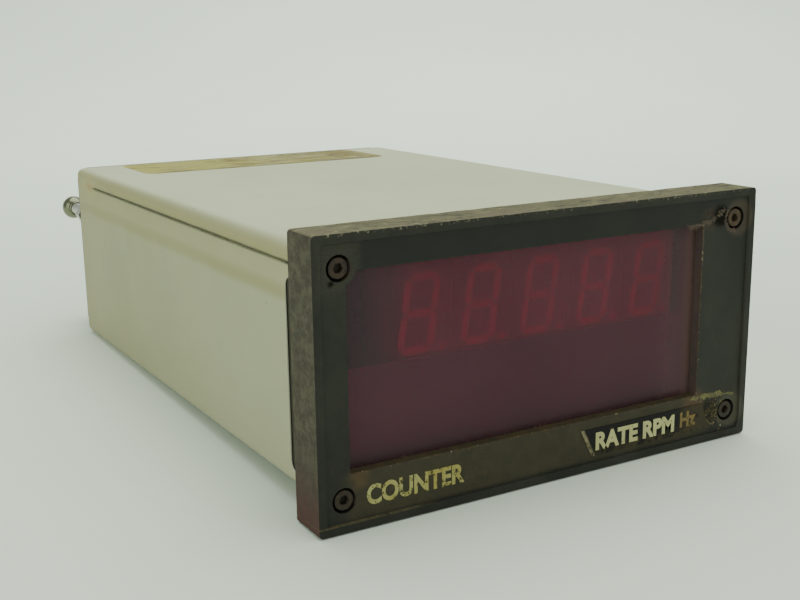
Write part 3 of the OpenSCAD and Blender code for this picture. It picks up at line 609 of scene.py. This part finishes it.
def display_face():
    """The digit modules: red-brown plastic, shaded at the row's left end, with painted light on their side
    faces.
    """
    g = Graph("display_face")
    cloud = g.noise(0.2, 4, seed=1)
    fine = g.noise(3.0, 3, seed=2)
    g.base((0.44, 0.22, 0.21), (0.50, 0.26, 0.25), cloud, 0.35, 0.7)
    shaded = g.fade(g.x, DISPLAY_LEFT + 5.5, DISPLAY_LEFT)
    g.lay((0.11, 0.075, 0.07), shaded, 0.85)
    # painted light: the modules' side faces are painted pale, so the gaps between them don't read dark
    g.lay((0.97, 0.72, 0.70), g.fade(g.ny, -0.7, -0.3))
    return g.finish(0.5, g.bump(fine, 0.02))


def display_segment():
    """Unlit segments: a milky red diffuser."""
    g = Graph("display_segment")
    cloud = g.noise(0.6, 4, seed=1)
    g.base((0.90, 0.27, 0.27), (0.84, 0.22, 0.23), cloud, 0.3, 0.7)
    return g.finish(0.45, g.bump(cloud, 0.01))


def mask_plate():
    """The light plate behind the lower half of the window, with painted light on its top edge."""
    g = Graph("mask_plate")
    cloud = g.noise(0.08, 6, seed=1)
    fine = g.noise(2.0, 5, seed=2)
    g.base((0.235, 0.20, 0.20), (0.285, 0.245, 0.245), cloud, 0.35, 0.7)
    g.lay((0.17, 0.15, 0.15), g.fade(fine, 0.5, 0.75, 0, 0.25))
    # painted light: the top edge is painted pale, where the digits shade it
    g.lay((0.80, 0.62, 0.60), g.fade(g.nz, 0.4, 0.8))
    return g.finish(0.6, g.bump(fine, 0.03))


def board_laminate():
    """Solder-masked circuit board with tracks running along it and plated pads."""
    g = Graph("board_laminate")
    across = g.math("FRACT", g.times(g.x, 1 / 2.54))
    tracks = g.times(g.between(across, 0.40, 0.60, 0.03), g.fade(g.noise(0.10, 2, seed=1), 0.45, 0.5))
    pads = g.spots(1 / 2.54, 0.55, 0.35)
    weave = g.noise(1.8, 4, seed=3)
    g.base((0.020, 0.105, 0.045), (0.028, 0.135, 0.060), weave, 0.35, 0.7)
    g.lay((0.055, 0.215, 0.095), tracks, 0.7)
    g.lay((0.52, 0.50, 0.44), pads, 0.9)
    return g.finish(g.plus(0.32, g.times(weave, 0.2)), g.bump(g.plus(tracks, pads), 0.05))


def laminations():
    """A transformer core's stacked steel sheets."""
    g = Graph("laminations")
    sheets = g.math("FRACT", g.times(g.y, 2.0))
    dirt = g.noise(0.4, 6, seed=1)
    g.base((0.06, 0.055, 0.05), (0.26, 0.25, 0.24), sheets, 0.1, 0.35)
    g.lay((0.20, 0.10, 0.05), g.fade(dirt, 0.55, 0.7, 0, 0.5))
    return g.finish(0.5, g.bump(sheets, 0.08), metallic=0.7)


def coil_tape():
    """A winding under yellow tape, its wraps showing."""
    g = Graph("coil_tape")
    wraps = g.math("FRACT", g.times(g.z, 0.25))
    fold = g.noise(0.5, 5, seed=1)
    g.tone = g.mix(g.fade(wraps, 0.9, 1.0, 0, 0.5), (0.60, 0.42, 0.07), (0.42, 0.27, 0.03))
    g.lay((0.70, 0.55, 0.16), g.fade(fold, 0.5, 0.8, 0, 0.3))
    return g.finish(0.32, g.bump(g.plus(wraps, fold), 0.08))


def banded_resistor():
    """Tan resistor bodies with coloured bands, on tinned leads."""
    g = Graph("banded_resistor")
    base = deck_level()
    local = g.minus(g.y, 30.0)
    local = g.math("WRAP", local, 8.0, -8.0)
    g.tone = (0.55, 0.40, 0.22)
    for centre, colour in ((-2.0, (0.30, 0.02, 0.02)), (-0.8, (0.02, 0.03, 0.25)),
                           (0.4, (0.45, 0.18, 0.01)), (2.2, (0.55, 0.38, 0.06))):
        g.lay(colour, g.between(local, centre - 0.3, centre + 0.3, 0.05))
    lead = g.math("GREATER_THAN", g.size(local), 3.25)
    g.lay((0.62, 0.61, 0.58), lead)
    return g.finish(0.4, g.bump(g.noise(2.0), 0.02), metallic=g.times(lead, g.fade(g.z, base, base + 0.1)))


def deck_level():
    """Height of the main board's upper face, in millimetres."""
    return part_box("main_board")[1].z / MM


def sleeve(name, colour, stripe):
    """A capacitor's shrunk sleeve with a pale stripe, under a bare can top."""
    g = Graph(name)
    top = g.fade(g.nz, 0.7, 0.95)
    wrinkle = g.noise(0.8, 4, seed=1)
    line = g.times(g.between(g.nx, 0.35, 0.75, 0.03), g.fade(g.ny, 0.0, -0.1))
    g.base(colour, tuple(c * 1.4 for c in colour), wrinkle, 0.4, 0.7)
    g.lay(stripe, line, 0.8)
    g.lay((0.58, 0.58, 0.57), top)
    return g.finish(0.33, g.bump(wrinkle, 0.04), metallic=g.times(top, 0.9))


def fuse_tube():
    """A glass fuse: plated caps on a clouded tube."""
    g = Graph("fuse_tube")
    centre = (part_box("fuse")[0].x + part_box("fuse")[1].x) / 2 / MM
    cap = g.fade(g.size(g.minus(g.x, centre)), 4.9, 5.1)
    mark = g.noise(1.5, 4, seed=1)
    g.tone = g.mix(cap, (0.55, 0.58, 0.57), (0.66, 0.63, 0.56))
    g.lay((0.35, 0.33, 0.30), g.fade(mark, 0.55, 0.8, 0, 0.3))
    return g.finish(g.fade(cap, 0, 1, 0.08, 0.28), g.bump(mark, 0.02), metallic=cap)


def fibre_panel():
    """The dark laminate rear panel, brushed along its width and faded at its rim."""
    g = Graph("fibre_panel")
    weave = g.noise(2.2, 6, 0.7, stretch=(0.35, 1, 1), seed=1)
    cloud = g.noise(0.1, 5, seed=2)
    panel_low, panel_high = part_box("rear_panel")
    rim_x = g.minus(panel_high.x / MM, g.size(g.x))
    rim_z = g.least(g.minus(panel_high.z / MM, g.z), g.minus(g.z, panel_low.z / MM))
    rim = g.fade(g.least(rim_x, rim_z), 1.2, 0.0)
    g.base((0.022, 0.023, 0.022), (0.034, 0.034, 0.031), cloud, 0.3, 0.7)
    g.lay((0.070, 0.066, 0.056), g.fade(weave, 0.5, 0.75, 0, 0.35))
    g.lay((0.125, 0.115, 0.090), rim, g.fade(weave, 0.4, 0.6))
    return g.finish(g.plus(0.42, g.times(cloud, 0.2)), g.bump(weave, 0.03))


def dull_steel():
    """Plain polished steel gone grey-green, with faint wipe marks and a few pits."""
    g = Graph("dull_steel")
    wipes = g.noise(0.8, 6, stretch=(1, 0.3, 1), seed=1)
    pits = g.spots(1.1, 0.09, 0.25)
    g.tone = g.mix(g.fade(wipes, 0.5, 0.8, 0, 0.3), (0.195, 0.205, 0.135), (0.150, 0.155, 0.100))
    g.lay((0.12, 0.09, 0.06), pits, 0.7)
    return g.finish(g.plus(0.16, g.times(wipes, 0.14), g.times(pits, 0.3)),
                    g.bump(g.times(pits, -1.0), 0.03), metallic=1.0)


def dirt_crumbs():
    """Loose crumbs of dirt: brown, rust and pale dust."""
    g = Graph("dirt_crumbs")
    kind = g.noise(0.9, 2, seed=1)
    g.base((0.085, 0.046, 0.022), (0.200, 0.145, 0.055), kind, 0.40, 0.50)
    g.lay((0.46, 0.42, 0.26), g.fade(kind, 0.58, 0.64))
    return g.finish(0.85, g.bump(g.noise(4.0), 0.05))


CASE = case_paint()
ZINC = worn_metal("zinc_plate", (0.60, 0.585, 0.54), 0.30, (0.33, 0.28, 0.20), 0.40)
CHIP = moulded("chip_epoxy", (0.016, 0.016, 0.017), 0.55, dust=0.3)
BOARD = board_laminate()
FACE = display_face()
SEGMENT = display_segment()
LEVER = moulded("lever_plastic", (0.74, 0.73, 0.68), 0.42)

# the material of each CAD node that is shown as packed
NODE_LOOKS = {
    "lower_mask": mask_plate(),
    "display_board": BOARD,
    "driver_chips": CHIP,
    "front_frame": frame_moulding(),
    "card_guides": moulded("guide_black", (0.02, 0.02, 0.02), 0.5),
    "main_board": BOARD,
    "rear_board": BOARD,
    "board_link": moulded("link_gold", (0.40, 0.27, 0.08), 0.35),
    "rear_link": moulded("rear_link_gold", (0.40, 0.27, 0.08), 0.35),
    "counter_chip": CHIP,
    "logic_chips": CHIP,
    "bridge_diodes": CHIP,
    "transistors": CHIP,
    "regulator": CHIP,
    "crystal": worn_metal("crystal_can", (0.66, 0.66, 0.64), 0.25, share=0.2),
    "transformer_core": laminations(),
    "transformer_coil": coil_tape(),
    "filter_capacitor": sleeve("sleeve_blue", (0.018, 0.035, 0.14), (0.55, 0.56, 0.58)),
    "small_capacitors": sleeve("sleeve_black", (0.012, 0.014, 0.022), (0.50, 0.50, 0.52)),
    "heat_sink": worn_metal("sink_aluminium", (0.72, 0.73, 0.74), 0.35, (0.45, 0.45, 0.44), 0.3),
    "regulator_screw": ZINC,
    "resistors": banded_resistor(),
    "fuse": fuse_tube(),
    "fuse_clips": ZINC,
    "terminal_tails": ZINC,
    "trimmer_body": moulded("trimmer_blue", (0.020, 0.085, 0.30), 0.35),
}
for index in range(1, 6):
    NODE_LOOKS[f"digit_body_{index}"] = FACE
    NODE_LOOKS[f"digit_segments_{index}"] = SEGMENT
for node_name, look in NODE_LOOKS.items():
    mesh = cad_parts[node_name].data
    mesh.materials.clear()
    mesh.materials.append(look)


# ---- Mesh helpers ----

def show(piece):
    bpy.context.scene.collection.objects.link(piece)


def add_piece(name, mesh, material, body=BODY, replaces=()):
    """Puts a finished mesh in the scene as a piece of the object."""
    piece = bpy.data.objects.new(name, mesh)
    show(piece)
    mesh.materials.clear()
    mesh.materials.append(material)
    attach(piece, body)
    if replaces:
        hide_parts(*replaces)
    return piece


def mesh_from(bm, name, smooth_deg=40):
    """Turns a bmesh into a mesh, smooth except where faces meet more sharply than smooth_deg."""
    bmesh.ops.recalc_face_normals(bm, faces=bm.faces)
    mesh = bpy.data.meshes.new(name)
    bm.to_mesh(mesh)
    bm.free()
    for polygon in mesh.polygons:
        polygon.use_smooth = True
    mesh.set_sharp_from_angle(angle=math.radians(smooth_deg))
    return mesh


def cleaned(node):
    """A CAD node's shape as a bmesh, with its flat faces whole again."""
    bm = bmesh.new()
    bm.from_mesh(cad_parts[node].data)
    bmesh.ops.remove_doubles(bm, verts=bm.verts, dist=2e-6)
    bmesh.ops.dissolve_limit(bm, angle_limit=math.radians(0.4), verts=bm.verts, edges=bm.edges)
    return bm


def round_edges(bm, width, segments):
    """Rounds a bmesh's sharp edges to a small radius."""
    sharp = math.radians(38)
    edges = [e for e in bm.edges if e.is_manifold and e.calc_face_angle(0) > sharp]
    bmesh.ops.bevel(bm, geom=edges, offset=width, segments=segments, profile=0.5,
                    affect="EDGES", clamp_overlap=True)


def softened(name, node, material, width, segments=2, body=BODY, shape=None):
    """A piece with a CAD node's shape and its edges rounded by width millimetres, in place of that node."""
    bm = cleaned(node)
    round_edges(bm, width * MM, segments)
    if shape:
        shape(bm)
    piece = add_piece(name, mesh_from(bm, name), material, body, (node,))
    weighted = piece.modifiers.new("weighted", "WEIGHTED_NORMAL")
    weighted.keep_sharp = True


def slice_along(bm, axis, low, high, step):
    """Cuts a bmesh with planes across one axis, so that what follows can bend it."""
    normal = Vector([1.0 if i == axis else 0.0 for i in range(3)])
    count = int((high - low) / step)
    for i in range(1, count):
        point = normal * (low + (high - low) * i / count)
        geometry = bm.verts[:] + bm.edges[:] + bm.faces[:]
        bmesh.ops.bisect_plane(bm, geom=geometry, dist=1e-7, plane_co=point, plane_no=normal)


def nicked(bm):
    """Wears the bezel's outer edges: shallow dents and a few deeper nicks, mostly along the top."""
    slice_along(bm, 0, bezel_low.x, bezel_high.x, 1.2 * MM)
    slice_along(bm, 2, bezel_low.z, bezel_high.z, 1.6 * MM)
    middle = Vector((0, (bezel_low.y + bezel_high.y) / 2, 0))
    reach = 0.75 * MM
    for v in bm.verts:
        gaps = (bezel_high.x - abs(v.co.x), bezel_high.z - abs(v.co.z),
                min(v.co.y - bezel_low.y, bezel_high.y - v.co.y))
        near = sorted(gaps)
        closeness = 1 - min(1.0, math.hypot(near[0], near[1]) / reach)
        if closeness <= 0:
            continue
        fine = noise.noise(v.co / (2.3 * MM))
        coarse = noise.noise(v.co / (7 * MM) + Vector((3, 1, 7)))
        dent = 0.05 * max(0.0, fine) + 0.16 * max(0.0, coarse - 0.32)
        dent *= 1.6 if v.co.z > 0.9 * bezel_high.z else 0.35
        inward = (middle - v.co)
        inward = Vector((inward.x if gaps[0] < reach else 0, inward.y if gaps[2] < reach else 0,
                         inward.z if gaps[1] < reach else 0))
        if inward.length > 0:
            v.co += inward.normalized() * dent * closeness * MM


def drawn_in(bm):
    """Draws the case's side walls slightly inwards towards the open seam."""
    start, end = 13.0 * MM, SEAM_Z * MM
    slice_along(bm, 2, start - 1.5 * MM, end, 0.6 * MM)
    slice_along(bm, 1, 100 * MM, case_high.y, 3.0 * MM)
    for v in bm.verts:
        if abs(v.co.x) < case_high.x - 2.5 * MM or v.co.z < start:
            continue
        share = min(1.0, (v.co.z - start) / (end - start))
        ends = min(1.0, max(0.0, ((SEAM_END + 4) * MM - v.co.y) / (12 * MM)))
        v.co.x -= math.copysign(0.32 * MM * share * share * ends, v.co.x)


def lathe(bm, profile, centre, steps=40):
    """Turns a profile of (radius, distance along y) pairs about a line along y through centre."""
    rings = []
    for radius, along in profile:
        if radius < 1e-7:
            rings.append([bm.verts.new(centre + Vector((0, along, 0)))])
            continue
        ring = []
        for i in range(steps):
            turn = 2 * math.pi * i / steps
            spot = Vector((radius * math.cos(turn), along, radius * math.sin(turn)))
            ring.append(bm.verts.new(centre + spot))
        rings.append(ring)
    for a, b in zip(rings, rings[1:]):
        for i in range(steps):
            j = (i + 1) % steps
            corners = [a[i % len(a)], a[j % len(a)], b[j % len(b)], b[i % len(b)]]
            unique = list(dict.fromkeys(corners))
            if len(unique) > 2:
                bm.faces.new(unique)


def thread(bm, centre, radius, start, end, pitch, depth, steps=24):
    """A threaded rod along y: a helix of crests round a core, closed at both ends."""
    turns = (end - start) / pitch
    count = int(turns * steps)
    rows = (0.0, depth, depth, 0.0)
    offsets = (0.0, 0.35, 0.5, 0.85)
    rail = []
    for i in range(count + 1):
        turn = 2 * math.pi * i / steps
        along = start + (end - start - pitch) * i / count
        row = []
        for cut, share in zip(rows, offsets):
            r = radius - depth + cut
            spot = Vector((r * math.cos(turn), along + share * pitch, r * math.sin(turn)))
            row.append(bm.verts.new(centre + spot))
        rail.append(row)
    for a, b in zip(rail, rail[1:]):
        for k in range(3):
            bm.faces.new((a[k], b[k], b[k + 1], a[k + 1]))
    for i in range(count + 1 - steps):
        if i + steps + 1 <= count:
            bm.faces.new((rail[i][3], rail[i + 1][3], rail[i + steps + 1][0], rail[i + steps][0]))
    core = radius - depth * 1.02
    lathe(bm, [(0, start - 1e-5), (core, start), (core, end), (0, end + 1e-5)], centre, steps)


def letters(name, words, place, front, material, bold):
    """Plain letters facing the front. Their place is (left, right, base, height), in millimetres."""
    curve = bpy.data.curves.new(name, "FONT")
    curve.body = words
    curve.size = 1.0
    curve.offset = bold
    curve.extrude = 0.01
    source = bpy.data.objects.new(name + "_source", curve)
    show(source)
    bpy.context.view_layer.update()
    graph = bpy.context.evaluated_depsgraph_get()
    mesh = bpy.data.meshes.new_from_object(source.evaluated_get(graph))
    bpy.data.objects.remove(source)
    left, right, base, height = place
    xs = [v.co.x for v in mesh.vertices]
    ys = [v.co.y for v in mesh.vertices]
    scale_x = (right - left) / (max(xs) - min(xs))
    scale_z = height / (max(ys) - min(ys))
    thickness = 0.04
    for v in mesh.vertices:
        x, y, lift = v.co
        v.co = Vector((left + (x - min(xs)) * scale_x, front - thickness * (0.5 + lift / 0.02),
                       base + (y - min(ys)) * scale_z)) * MM
    add_piece(name, mesh, material)


# ---- Pieces that stand for CAD nodes ----

softened("bezel_shell", "bezel", bezel_plastic(), 0.2, shape=nicked)
softened("corner_screws", "bezel_screws", rusty_screw(), 0.16)
softened("case_shell", "case_body", CASE, 0.12, shape=drawn_in)
softened("cover_shell", "top_cover", CASE, 0.12)
softened("filter_pane", "filter_window", red_filter(), 0.1)
softened("badge", "front_label", badge_film(), 0.04)
softened("back_plate", "rear_panel", fibre_panel(), 0.18)
softened("back_plate_screws", "rear_panel_screws", ZINC, 0.14)
softened("wire_block", "terminal_strip", moulded("phenolic", (0.018, 0.017, 0.016), 0.45, dust=0.5),
         0.15)
softened("wire_clamps", "terminal_plates", ZINC, 0.1)
softened("wire_screws", "terminal_screws", worn_metal("nickel_brass", (0.58, 0.50, 0.33), 0.32),
         0.28, 3)
softened("plain_nuts", "stud_nuts", ZINC, 0.14)
softened("rate_switch", "switch_body", moulded("switch_red", (0.36, 0.016, 0.014), 0.33),
         0.12)
for index in range(1, 5):
    lever = f"switch_lever_{index}"
    softened(f"rate_lever_{index}", lever, LEVER, 0.1, body=lever)
softened("trimmer_dial", "trimmer_rotor", LEVER, 0.1, body="trimmer_rotor")


def label_sheet():
    """The aged label: a thin sheet with round corners that has begun to lift at its edges."""
    bm = bmesh.new()
    columns, rows = 60, 22
    corner = 2.2 * MM
    size = label_high - label_low
    lift_most = 0.9 * (label_high.z - label_low.z)
    sheet_t = 0.06 * MM

    def rounded(x, y):
        """Moves a point near a corner onto the corner's round edge."""
        cx = min(max(x, label_low.x + corner), label_high.x - corner)
        cy = min(max(y, label_low.y + corner), label_high.y - corner)
        dx, dy = x - cx, y - cy
        if dx == 0 or dy == 0:
            return x, y
        square = max(abs(dx), abs(dy))
        scale = square / math.hypot(dx, dy)
        return cx + dx * scale, cy + dy * scale

    grid = []
    for j in range(rows + 1):
        line = []
        for i in range(columns + 1):
            x, y = rounded(label_low.x + size.x * i / columns, label_low.y + size.y * j / rows)
            inset = min(x - label_low.x, label_high.x - x, y - label_low.y, label_high.y - y)
            wave = 0.5 + 0.5 * noise.noise(Vector((x, y, 0)) / (6 * MM))
            lift = lift_most * (0.15 + 0.85 * max(0.0, 1 - inset / (2.5 * MM))) * wave
            line.append(bm.verts.new((x, y, label_low.z + lift)))
        grid.append(line)
    for j in range(rows):
        for i in range(columns):
            bm.faces.new((grid[j][i], grid[j][i + 1], grid[j + 1][i + 1], grid[j + 1][i]))
    bmesh.ops.solidify(bm, geom=bm.faces[:], thickness=sheet_t)
    for v in bm.verts:
        v.co.z = min(max(v.co.z, label_low.z), label_high.z)
    mesh = mesh_from(bm, "label_sheet", 60)
    add_piece("label_sheet", mesh, aged_label(), replaces=("top_label",))


def threaded_studs():
    """The two M3 studs, with real threads."""
    bm = bmesh.new()
    radius = (studs_high.z - studs_low.z) / 2
    for side in (-1, 1):
        centre = Vector((side * (studs_high.x - radius), 0, (studs_low.z + studs_high.z) / 2))
        thread(bm, centre, radius, studs_low.y, studs_high.y, 0.5 * MM, 0.28 * MM)
    mesh = mesh_from(bm, "threaded_studs", 50)
    add_piece("threaded_studs", mesh, ZINC, replaces=("bracket_studs",))


def domed_nuts():
    """The domed nuts: a ball that runs into a short neck with the mouth of its threaded hole."""
    bm = bmesh.new()
    ball_r = (nuts_high.z - nuts_low.z) / 2
    middle = nuts_high.y - ball_r
    neck_r, hole_r, chamfer = 2.0 * MM, 1.55 * MM, 0.2 * MM
    profile = [(0.0, nuts_high.y)]
    last_turn = math.pi - math.asin(neck_r / ball_r)
    for i in range(1, 21):
        turn = last_turn * i / 20
        profile.append((ball_r * math.sin(turn), middle + ball_r * math.cos(turn)))
    profile += [(neck_r, nuts_low.y + chamfer), (neck_r - chamfer, nuts_low.y), (hole_r, nuts_low.y),
                (hole_r, nuts_low.y + 0.5 * MM)]
    for side in (-1, 1):
        lathe(bm, profile, Vector((side * (nuts_high.x - ball_r), 0, (nuts_low.z + nuts_high.z) / 2)), 48)
    mesh = mesh_from(bm, "domed_nuts", 35)
    add_piece("domed_nuts", mesh, dull_steel(), replaces=("cap_nuts",))


def lump(bm, centre, size, seed):
    """A small irregular lump, its centre and half sizes in millimetres."""
    made = bmesh.ops.create_icosphere(bm, subdivisions=2, radius=1.0)
    for v in made["verts"]:
        swell = 1 + 0.35 * noise.noise(v.co * 1.7 + Vector((seed, 0, 0)))
        v.co = (Vector(centre) + Vector([a * b for a, b in zip(v.co, size)]) * swell) * MM


def grime_crumbs():
    """Small crumbs of dirt along the window's right and lower edges and round the lower right screw."""
    bm = bmesh.new()
    pick = random.Random(11)
    spots = []
    for _ in range(75):
        x = WINDOW_LEFT + (WINDOW_RIGHT - WINDOW_LEFT) * pick.random()
        spots.append((x, WINDOW_BOTTOM - abs(pick.gauss(0.05, 0.12)), pick.uniform(0.05, 0.13)))
    for _ in range(50):
        z = WINDOW_BOTTOM + (WINDOW_TOP - WINDOW_BOTTOM) * pick.random()
        spots.append((WINDOW_RIGHT + abs(pick.gauss(0.05, 0.14)), z, pick.uniform(0.05, 0.15)))
    for _ in range(40):
        turn = math.radians(pick.uniform(95, 265))
        reach = pick.gauss(3.6, 0.8)
        x, z = SCREW_X + reach * math.cos(turn), -SCREW_Z + reach * math.sin(turn)
        spots.append((x, z, pick.uniform(0.07, 0.2)))
    for index, (x, z, radius) in enumerate(spots):
        lump(bm, (x, FIELD_Y + SUNK, z), (radius, 0.5 * radius, 0.8 * radius), index)
    add_piece("grime_crumbs", mesh_from(bm, "grime_crumbs", 60), dirt_crumbs())


def crust(name, ways, material, seed):
    """Dried grease or rust in crumbly ridges. Each way is (number of lumps, spread, lump size, *points)."""
    bm = bmesh.new()
    pick = random.Random(seed)
    for count, spread, size, *points in ways:
        for i in range(count):
            x, z = along_line(points, pick.random())
            x += pick.gauss(0, spread)
            z += pick.gauss(0, spread)
            radius = size * pick.uniform(0.45, 1.0)
            half_sizes = (radius, 0.4 * radius, radius * pick.uniform(0.7, 1.1))
            lump(bm, (x, FIELD_Y + SUNK, z), half_sizes, i)
    add_piece(name, mesh_from(bm, name, 60), material)


def along_line(points, share):
    """The point at a share of the way along a line through points, each stretch counting the same."""
    step = min(int(share * (len(points) - 1)), len(points) - 2)
    part = share * (len(points) - 1) - step
    start, end = points[step], points[step + 1]
    return start[0] + (end[0] - start[0]) * part, start[1] + (end[1] - start[1]) * part


def grease(name, dark, light):
    """Dried grease: waxy, with darker dirt caught in it."""
    g = Graph(name)
    grain = g.noise(2.2, 6, 0.7, seed=1)
    g.base(dark, light, g.plus(grain, g.times(g.noise(0.5, 3, seed=2), 0.5)), 0.58, 0.92)
    return g.finish(g.plus(0.38, g.times(grain, 0.3)), g.bump(grain, 0.08), Subsurface_Weight=0.1,
                    Subsurface_Scale=0.0005)


label_sheet()
threaded_studs()
domed_nuts()
grime_crumbs()
crust("yellow_grease", (
    (170, 0.13, 0.24, (WINDOW_RIGHT - 1.5, WINDOW_BOTTOM - 0.7), (SCREW_X - 5, WINDOW_BOTTOM - 0.4),
     (SCREW_X + 1.7, WINDOW_BOTTOM - 1.2)),
    (110, 0.26, 0.26, (SCREW_X - 6.2, WINDOW_BOTTOM - 0.7), (SCREW_X - 1.5, WINDOW_BOTTOM - 0.6)),
    (150, 0.09, 0.13, (SCREW_X - 6.8, WINDOW_BOTTOM - 1.2), (SCREW_X - 7.3, WINDOW_BOTTOM - 3.2),
     (SCREW_X - 6.0, WINDOW_BOTTOM - 5.2), (SCREW_X - 3.7, WINDOW_BOTTOM - 6.9)),
    (30, 0.08, 0.11, (SCREW_X - 2.4, -SCREW_Z + 2.2), (SCREW_X - 2.9, -SCREW_Z - 1.6)),
), grease("yellow_grease", (0.042, 0.034, 0.014), (0.190, 0.172, 0.047)), 5)
crust("rusty_crust", (
    (230, 0.30, 0.20, (WINDOW_RIGHT - 3.5, WINDOW_TOP - 0.2), (WINDOW_RIGHT - 0.3, WINDOW_TOP),
     (WINDOW_RIGHT + 2.2, WINDOW_TOP + 0.6), (SCREW_X - 3.0, SCREW_Z + 1.7)),
    (100, 0.10, 0.14, (WINDOW_RIGHT + 0.2, WINDOW_TOP), (WINDOW_RIGHT + 0.2, WINDOW_TOP - 8)),
    (90, 0.2, 0.18, (SCREW_X - 1.9, SCREW_Z + 2), (SCREW_X - 2.7, SCREW_Z), (SCREW_X - 1.9, SCREW_Z - 2),
     (SCREW_X + 0.2, SCREW_Z - 2.6)),
), grease("rusty_crust", (0.016, 0.011, 0.008), (0.092, 0.056, 0.031)), 7)
letters("front_word", "COUNTER", (-38.9, -19.6, -21.2, 3.6), FIELD_Y,
        printed_ink("yellow_ink", (0.325, 0.280, 0.066), (0.365, 0.355, 0.130), 0.40, 31),
        0.035)
letters("badge_word", "RATE RPM", (9.6, 29.2, -21.3, 3.5), badge_low.y / MM,
        printed_ink("cream_ink", (0.500, 0.500, 0.225), (0.440, 0.420, 0.190), 0.12, 41),
        0.045)
letters("badge_unit", "Hz", (30.7, 34.8, -20.9, 3.1), badge_low.y / MM,
        printed_ink("orange_ink", (0.225, 0.135, 0.018), (0.160, 0.110, 0.024), 0.32, 51),
        0.035)


# ---- Stage ----

def floor():
    """A pale floor that touches the bezel's lower back edge and the case's lower rear edge."""
    rise = math.atan2(case_low.z - bezel_low.z, case_high.y)
    turned = Matrix.Rotation(rise, 4, "X")
    reach = 3.0
    bend_at, bend_r, steps = 0.5, 1.6, 32
    outline = [(-reach, 0.0), (bend_at, 0.0)]
    for i in range(1, steps + 1):
        turn = math.pi / 2 * i / steps
        outline.append((bend_at + bend_r * math.sin(turn), bend_r * (1 - math.cos(turn))))
    outline.append((bend_at + bend_r, reach))
    facing = Matrix.Rotation(math.radians(-30), 4, "Z")
    bm = bmesh.new()
    rows = []
    for along, up in outline:
        row = []
        for across in (-reach, reach):
            spot = facing @ Vector((across, along, up))
            row.append(bm.verts.new(Vector((0, 0, bezel_low.z)) + turned @ spot))
        rows.append(row)
    for a, b in zip(rows, rows[1:]):
        bm.faces.new((a[0], a[1], b[1], b[0]))
    mesh = mesh_from(bm, "floor", 80)
    piece = bpy.data.objects.new("floor", mesh)
    show(piece)
    g = Graph("floor_paper")
    g.base((0.815, 0.900, 0.790), (0.845, 0.930, 0.820), g.noise(0.004, 2), 0.3, 0.7)
    mesh.materials.append(g.finish(0.8, g.bump(g.noise(0.6, 3), 0.02)))


def area_light(name, place, aim, size, power, colour=(1, 1, 1)):
    data = bpy.data.lights.new(name, "AREA")
    data.shape = "RECTANGLE"
    data.size, data.size_y = size
    data.energy = power
    data.color = colour
    lamp = bpy.data.objects.new(name, data)
    lamp.location = place
    lamp.rotation_mode = "QUATERNION"
    lamp.rotation_quaternion = (Vector(aim) - Vector(place)).to_track_quat("-Z", "Y")
    show(lamp)


def lights():
    middle = (0, 0.06, 0)
    tint = (0.965, 1.0, 0.935)
    area_light("top_soft", (0.15, 0.20, 0.95), middle, (1.1, 1.1), 9.4, tint)
    area_light("left_soft", (-0.98, -0.10, 0.34), middle, (0.9, 0.9), 3.15, tint)
    area_light("front_soft", (0.30, -1.0, 0.45), middle, (1.0, 0.8), 2.6, tint)
    area_light("back_wash", (0.35, 0.35, 0.9), (0.9, 1.6, 0.35), (0.8, 0.8), 9.0, tint)
    world = bpy.data.worlds.new("studio")
    world.use_nodes = True
    background = world.node_tree.nodes["Background"]
    background.inputs["Color"].default_value = (0.91, 0.985, 0.89, 1.0)
    background.inputs["Strength"].default_value = 0.50
    bpy.context.scene.world = world


def camera():
    """The photograph's viewpoint: to the left of the bezel and a little above it."""
    data = bpy.data.cameras.new("camera")
    data.lens = 51.91
    data.sensor_width = 36.0
    data.clip_start = 0.01
    piece = bpy.data.objects.new("camera", data)
    right = Vector((0.8614, -0.5077, -0.0136)).normalized()
    ahead = Vector((0.4917, 0.8404, -0.2279)).normalized()
    up = right.cross(ahead)
    turn = Matrix((right, up, -ahead)).transposed().to_4x4()
    piece.matrix_world = Matrix.Translation((-0.1239, -0.1651, 0.0555)) @ turn
    show(piece)
    bpy.context.scene.camera = piece


floor()
lights()
camera()
